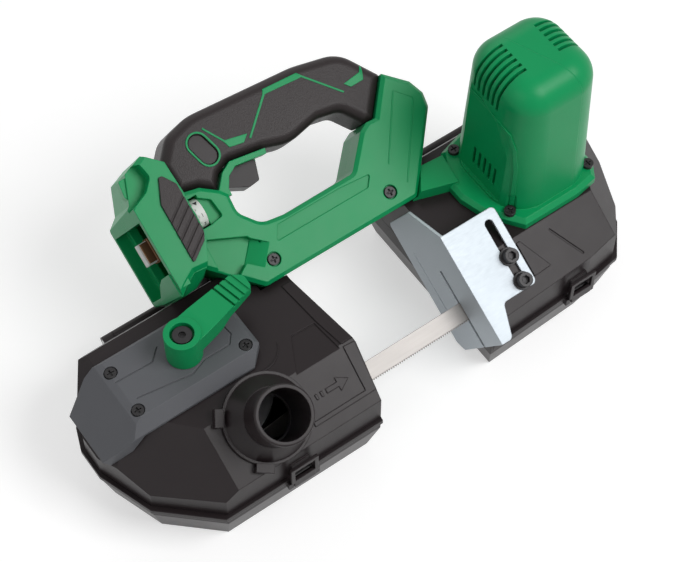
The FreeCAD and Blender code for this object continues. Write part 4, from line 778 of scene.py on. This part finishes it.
def teeth_tree():
    """Teeth at an even pitch along a wire, pointing out of the band, and the identifiers of its sizes."""
    tree = bpy.data.node_groups.new("blade_teeth", "GeometryNodeTree")
    ends = tree.interface
    ends.new_socket(name="Edge", in_out="INPUT", socket_type="NodeSocketGeometry")
    inputs = {}
    for name in TEETH_INPUTS:
        inputs[name] = ends.new_socket(name=name, in_out="INPUT", socket_type="NodeSocketFloat").identifier
    ends.new_socket(name="Teeth", in_out="OUTPUT", socket_type="NodeSocketGeometry")
    graph = Graph(tree)
    given = tree.nodes.new("NodeGroupInput").outputs
    edge, pitch, size, thickness = [Wire(graph, given[name]) for name in ("Edge",) + TEETH_INPUTS]
    line = graph.node("GeometryNodeMeshToCurve", None, {"Mesh": edge})
    points = graph.node("GeometryNodeCurveToPoints", {"mode": "LENGTH"}, {"Curve": line, "Length": pitch})
    tooth = one_tooth(graph, size, thickness)
    sockets = {"Points": points, "Instance": tooth, "Rotation": edge_turn(graph, points)}
    row = graph.node("GeometryNodeInstanceOnPoints", None, sockets)
    row = graph.node("GeometryNodeRealizeInstances", None, {"Geometry": row})
    row = graph.node("GeometryNodeSetMaterial", None, {"Geometry": row, "Material": finish("blade_steel")})
    graph.feed(tree.nodes.new("NodeGroupOutput").inputs["Teeth"], row)
    return tree, inputs


def grown(mesh, tree, values):
    """The plain mesh that a node tree makes of a mesh, with the tree's inputs set first."""
    holder = bpy.data.objects.new("holder", mesh)
    bpy.context.scene.collection.objects.link(holder)
    modifier = holder.modifiers.new("grow", "NODES")
    modifier.node_group = tree
    for identifier, value in values.items():
        modifier[identifier] = value
    graph = bpy.context.evaluated_depsgraph_get()
    made = bpy.data.meshes.new_from_object(holder.evaluated_get(graph))
    holder.modifiers.remove(modifier)
    bpy.data.objects.remove(holder)
    return made


def blade_teeth():
    """The row of teeth along the whole band."""
    tree, inputs = teeth_tree()
    values = {inputs["Pitch"]: sizes().tooth_pitch, inputs["Tooth size"]: sizes().tooth_size,
              inputs["Thickness"]: sizes().blade_thick}
    return piece("blade_teeth", grown(edge_path(), tree, values), "blade_steel", "frame")


# Turning mark, as (x, y) on the front housing's roof in millimetres

MARK_HEIGHT = 120.0
TURN_MARK = [(-223.0, -29.0), (-217.0, -31.4), (-210.6, -32.0), (-205.2, -30.9), (-200.7, -28.4),
             (-196.8, -24.6), (-194.0, -19.6)]
TURN_MARK_WIDTH = 1.3

# Panel edge of the motor cover, as (along its side, height) in millimetres

PANEL_SIDE = Vector((0.6, -0.8, 0.0))
PANEL_WAY = Vector((-0.8, -0.6, 0.0))
PANEL_REACH = 100.0
PANEL_EDGE = [(-24.0, 175.0), (2.0, 175.0), (8.9, 171.0), (14.0, 158.0), (16.6, 138.0), (17.0, 117.0),
              (16.8, 99.0)]
PANEL_EDGE_WIDTH = 3.0

# Panel edge of the pillar, as (x, up the handle) in millimetres

PILLAR_PANEL = [(-61.0, 111.7), (-31.7, 153.1), (-21.3, 142.5), (-55.6, 95.0)]
PILLAR_PANEL_WIDTH = 1.0


def beside(line, width):
    """Two rails along a line, half a width to each side of it."""
    rails = ([], [])
    for index, (x, y) in enumerate(line):
        before = line[max(index - 1, 0)]
        after = line[min(index + 1, len(line) - 1)]
        run = Vector((after[0] - before[0], after[1] - before[1])).normalized() * width / 2
        rails[0].append((x - run.y, y + run.x))
        rails[1].append((x + run.y, y - run.x))
    return rails


def turn_mark():
    """A low curved ridge on the roof, beside the lever."""
    start = Matrix.Translation((0.0, 0.0, MARK_HEIGHT * MM))
    shape = bmesh.new()
    rails = beside(TURN_MARK, TURN_MARK_WIDTH)
    strip(shape, surface_of("front_housing"), rails, start, sizes().inlay_proud)
    return solid_piece("turn_mark", shape, "black_plastic")


def panel_edge():
    """The raised edge of the motor cover's side panel, along its top and down its corner."""
    turn = Matrix((PANEL_SIDE, Vector((0.0, 0.0, 1.0)), PANEL_WAY)).transposed().to_4x4()
    start = Matrix.Translation(PANEL_WAY * PANEL_REACH * MM) @ turn
    shape = bmesh.new()
    rails = beside(PANEL_EDGE, PANEL_EDGE_WIDTH)
    strip(shape, surface_of("motor_cover_front"), rails, start, sizes().panel_proud)
    return solid_piece("panel_edge", shape, "green_shell")


def pillar_panel(side, start):
    """The edge of the plain panel on one side of the pillar."""
    shape = bmesh.new()
    rails = beside(PILLAR_PANEL, PILLAR_PANEL_WIDTH)
    strip(shape, surface_of("handle_shell_" + side), rails, start, sizes().inlay_proud)
    return solid_piece("pillar_panel_" + side, shape, "green_shell")


# Tension spring

def tension_coil():
    """The tension spring as its own piece in place of the CAD spring; the share of its length it would keep
    at the idler's full travel is worked out but not used.
    """
    low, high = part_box("tension_spring")
    joints = {joint["name"]: joint for joint in frame["record"]["behaviour"]["joints"]}
    travel = joints["idler_slide"]["range_m"][1]
    shape = bmesh.new()
    shape.from_mesh(frame["nodes"]["tension_spring"].data)
    bmesh.ops.remove_doubles(shape, verts=shape.verts, dist=MERGE_GAP)
    item = solid_piece("tension_coil", shape, NODE_SLOT["tension_spring"])
    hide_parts("tension_spring")
    keep = 1.0 - travel / (high[0] - low[0])
    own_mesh(item)
    return item


# Steps

class SAW_OT_finishes(bpy.types.Operator):
    """Give every CAD piece its procedural finish"""

    bl_idname = "saw.finishes"
    bl_label = "Finishes"

    def execute(self, context):
        for node, item in frame["nodes"].items():
            item.data.materials.clear()
            item.data.materials.append(finish(NODE_SLOT[node]))
        return {"FINISHED"}


class SAW_OT_grip_trim(bpy.types.Operator):
    """Lay the inlays and button rings on both sides of the handle"""

    bl_idname = "saw.grip_trim"
    bl_label = "Grip trim"

    def execute(self, context):
        for side, start in handle_frames().items():
            grip_inlays(side, start)
            button_ring(side, start)
        return {"FINISHED"}


class SAW_OT_battery_foot(bpy.types.Operator):
    """Add the flank, the seat, the mouth block and the contact holder of the battery foot"""

    bl_idname = "saw.battery_foot"
    bl_label = "Battery foot"

    def execute(self, context):
        foot_flank()
        foot_seat()
        mouth_block()
        contact_holder()
        return {"FINISHED"}


class SAW_OT_dial_marks(bpy.types.Operator):
    """Print the pointer and figures on the speed dial"""

    bl_idname = "saw.dial_marks"
    bl_label = "Dial marks"

    def execute(self, context):
        dial_marks()
        return {"FINISHED"}


class SAW_OT_blade_teeth(bpy.types.Operator):
    """Cut the teeth along the edge of the blade"""

    bl_idname = "saw.blade_teeth"
    bl_label = "Blade teeth"

    def execute(self, context):
        blade_teeth()
        return {"FINISHED"}


class SAW_OT_moulded_lines(bpy.types.Operator):
    """Raise the turning mark on the front housing and the panel edges on the motor cover and the pillar"""

    bl_idname = "saw.moulded_lines"
    bl_label = "Moulded lines"

    def execute(self, context):
        turn_mark()
        panel_edge()
        for side, start in handle_frames().items():
            pillar_panel(side, start)
        return {"FINISHED"}


class SAW_OT_tension_coil(bpy.types.Operator):
    """Put in the tension spring in place of the CAD one"""

    bl_idname = "saw.tension_coil"
    bl_label = "Tension coil"

    def execute(self, context):
        tension_coil()
        return {"FINISHED"}


# Stage

CAMERA_SPOT = Vector((-0.5171, -0.5477, 1.1509))
CAMERA_AIM = Vector((-0.114, 0.0174, 0.040))
PHOTO_WIDTH = 690
FOCAL_PIXELS = 1900.0
SENSOR = 36.0

KEY_LIGHT = {"spot": (0.46, -0.94, 1.5), "aim": (-0.1, 0.0, 0.05), "size": (0.9, 0.9), "power": 20.0}
SIDE_LIGHT = {"spot": (-1.3, -0.2, 1.2), "aim": (-0.1, 0.0, 0.05), "size": (1.2, 1.0), "power": 3.0}
BACK_LIGHT = {"spot": (0.1, 1.3, 1.1), "aim": (-0.1, 0.0, 0.08), "size": (1.6, 0.8), "power": 4.5}
WORLD_LEVEL, SEEN_LEVEL = 0.26, 1.0

FLOOR_REACH = 4.0
FLOOR_CORNERS = ((-1, -1), (1, -1), (1, 1), (-1, 1))
FLOOR_DARK, FLOOR_LIGHT = 0.62, 0.66
FLOOR_GLOW = 0.52


def aimed(item, spot, aim):
    """Put a camera or a lamp at a spot, looking at another."""
    item.location = spot
    item.rotation_euler = (Vector(aim) - Vector(spot)).to_track_quat("-Z", "Y").to_euler()
    bpy.context.scene.collection.objects.link(item)
    return item


def add_camera():
    """The camera at the photograph's viewing angle."""
    lens = bpy.data.cameras.new("camera")
    lens.sensor_fit = "HORIZONTAL"
    lens.sensor_width = SENSOR
    lens.lens = FOCAL_PIXELS / PHOTO_WIDTH * SENSOR
    bpy.context.scene.camera = aimed(bpy.data.objects.new("camera", lens), CAMERA_SPOT, CAMERA_AIM)


def add_softbox(name, spot, aim, size, power):
    """A soft rectangular lamp."""
    lamp = bpy.data.lights.new(name, "AREA")
    lamp.shape = "RECTANGLE"
    lamp.size, lamp.size_y = size
    lamp.energy = power
    aimed(bpy.data.objects.new(name, lamp), spot, aim)


def seen_ray(graph):
    """One for camera, glossy and transmission rays, else nought."""
    total = graph.node("ShaderNodeLightPath", out="Is Camera Ray")
    rays = total.socket.node.outputs
    for name in ("Is Glossy Ray", "Is Transmission Ray"):
        total = total.sum_up("MAXIMUM", total, Wire(graph, rays[name]))
    return total


def set_world():
    """A white surround where it is seen, and plain even light."""
    world = bpy.data.worlds.new("studio")
    world.use_nodes = True
    graph = Graph(world.node_tree)
    back = world.node_tree.nodes["Background"]
    back.inputs["Color"].default_value = neutral(1.0)
    sockets = {"Value": seen_ray(graph), "To Min": WORLD_LEVEL, "To Max": SEEN_LEVEL}
    graph.feed(back.inputs["Strength"], graph.node("ShaderNodeMapRange", None, sockets))
    bpy.context.scene.world = world


def add_floor():
    """A pale floor that keeps the saw's shadow."""
    mesh = bpy.data.meshes.new("floor")
    mesh.from_pydata([(x * FLOOR_REACH, y * FLOOR_REACH, 0.0) for x, y in FLOOR_CORNERS], [], [(0, 1, 2, 3)])
    made = Finish("pale_floor", {"Roughness": 0.9, "Emission Strength": 1.0})
    cloud = made.noise(3.0, 2.0)
    made.set("Base Color", made.blend(cloud, neutral(FLOOR_DARK), neutral(FLOOR_LIGHT)))
    made.set("Emission Color", seen_ray(made) * FLOOR_GLOW)
    mesh.materials.append(made.material)
    item = bpy.data.objects.new("floor", mesh)
    bpy.context.scene.collection.objects.link(item)


class SAW_OT_stage(bpy.types.Operator):
    """Set the pale floor, soft studio light and the camera"""

    bl_idname = "saw.stage"
    bl_label = "Stage"

    def execute(self, context):
        context.scene.view_settings.view_transform = "Standard"
        set_world()
        add_floor()
        add_softbox("key_light", **KEY_LIGHT)
        add_softbox("side_light", **SIDE_LIGHT)
        add_softbox("back_light", **BACK_LIGHT)
        add_camera()
        return {"FINISHED"}


class SAW_PT_panel(bpy.types.Panel):
    """Sizes, colours and steps of the saw"""

    bl_idname = "SAW_PT_panel"
    bl_label = "Band Saw"
    bl_space_type = "VIEW_3D"
    bl_region_type = "UI"
    bl_category = "Band Saw"

    def draw(self, context):
        for group in (context.scene.saw_colours, context.scene.saw_sizes):
            for name in group.__annotations__:
                self.layout.prop(group, name)
        for step in STEPS:
            self.layout.operator(step.bl_idname)


STEPS = (SAW_OT_finishes, SAW_OT_grip_trim, SAW_OT_battery_foot, SAW_OT_dial_marks, SAW_OT_blade_teeth,
         SAW_OT_moulded_lines, SAW_OT_tension_coil, SAW_OT_stage)
CLASSES = (SawColours, SawSizes) + STEPS + (SAW_PT_panel,)


def register():
    for cls in CLASSES:
        bpy.utils.register_class(cls)
    bpy.types.Scene.saw_colours = bpy.props.PointerProperty(type=SawColours)
    bpy.types.Scene.saw_sizes = bpy.props.PointerProperty(type=SawSizes)


def unregister():
    del bpy.types.Scene.saw_colours
    del bpy.types.Scene.saw_sizes
    for cls in reversed(CLASSES):
        bpy.utils.unregister_class(cls)


def main():
    register()
    for step in STEPS:
        group, name = step.bl_idname.split(".")
        getattr(getattr(bpy.ops, group), name)()


if __name__ == "__main__":
    main()
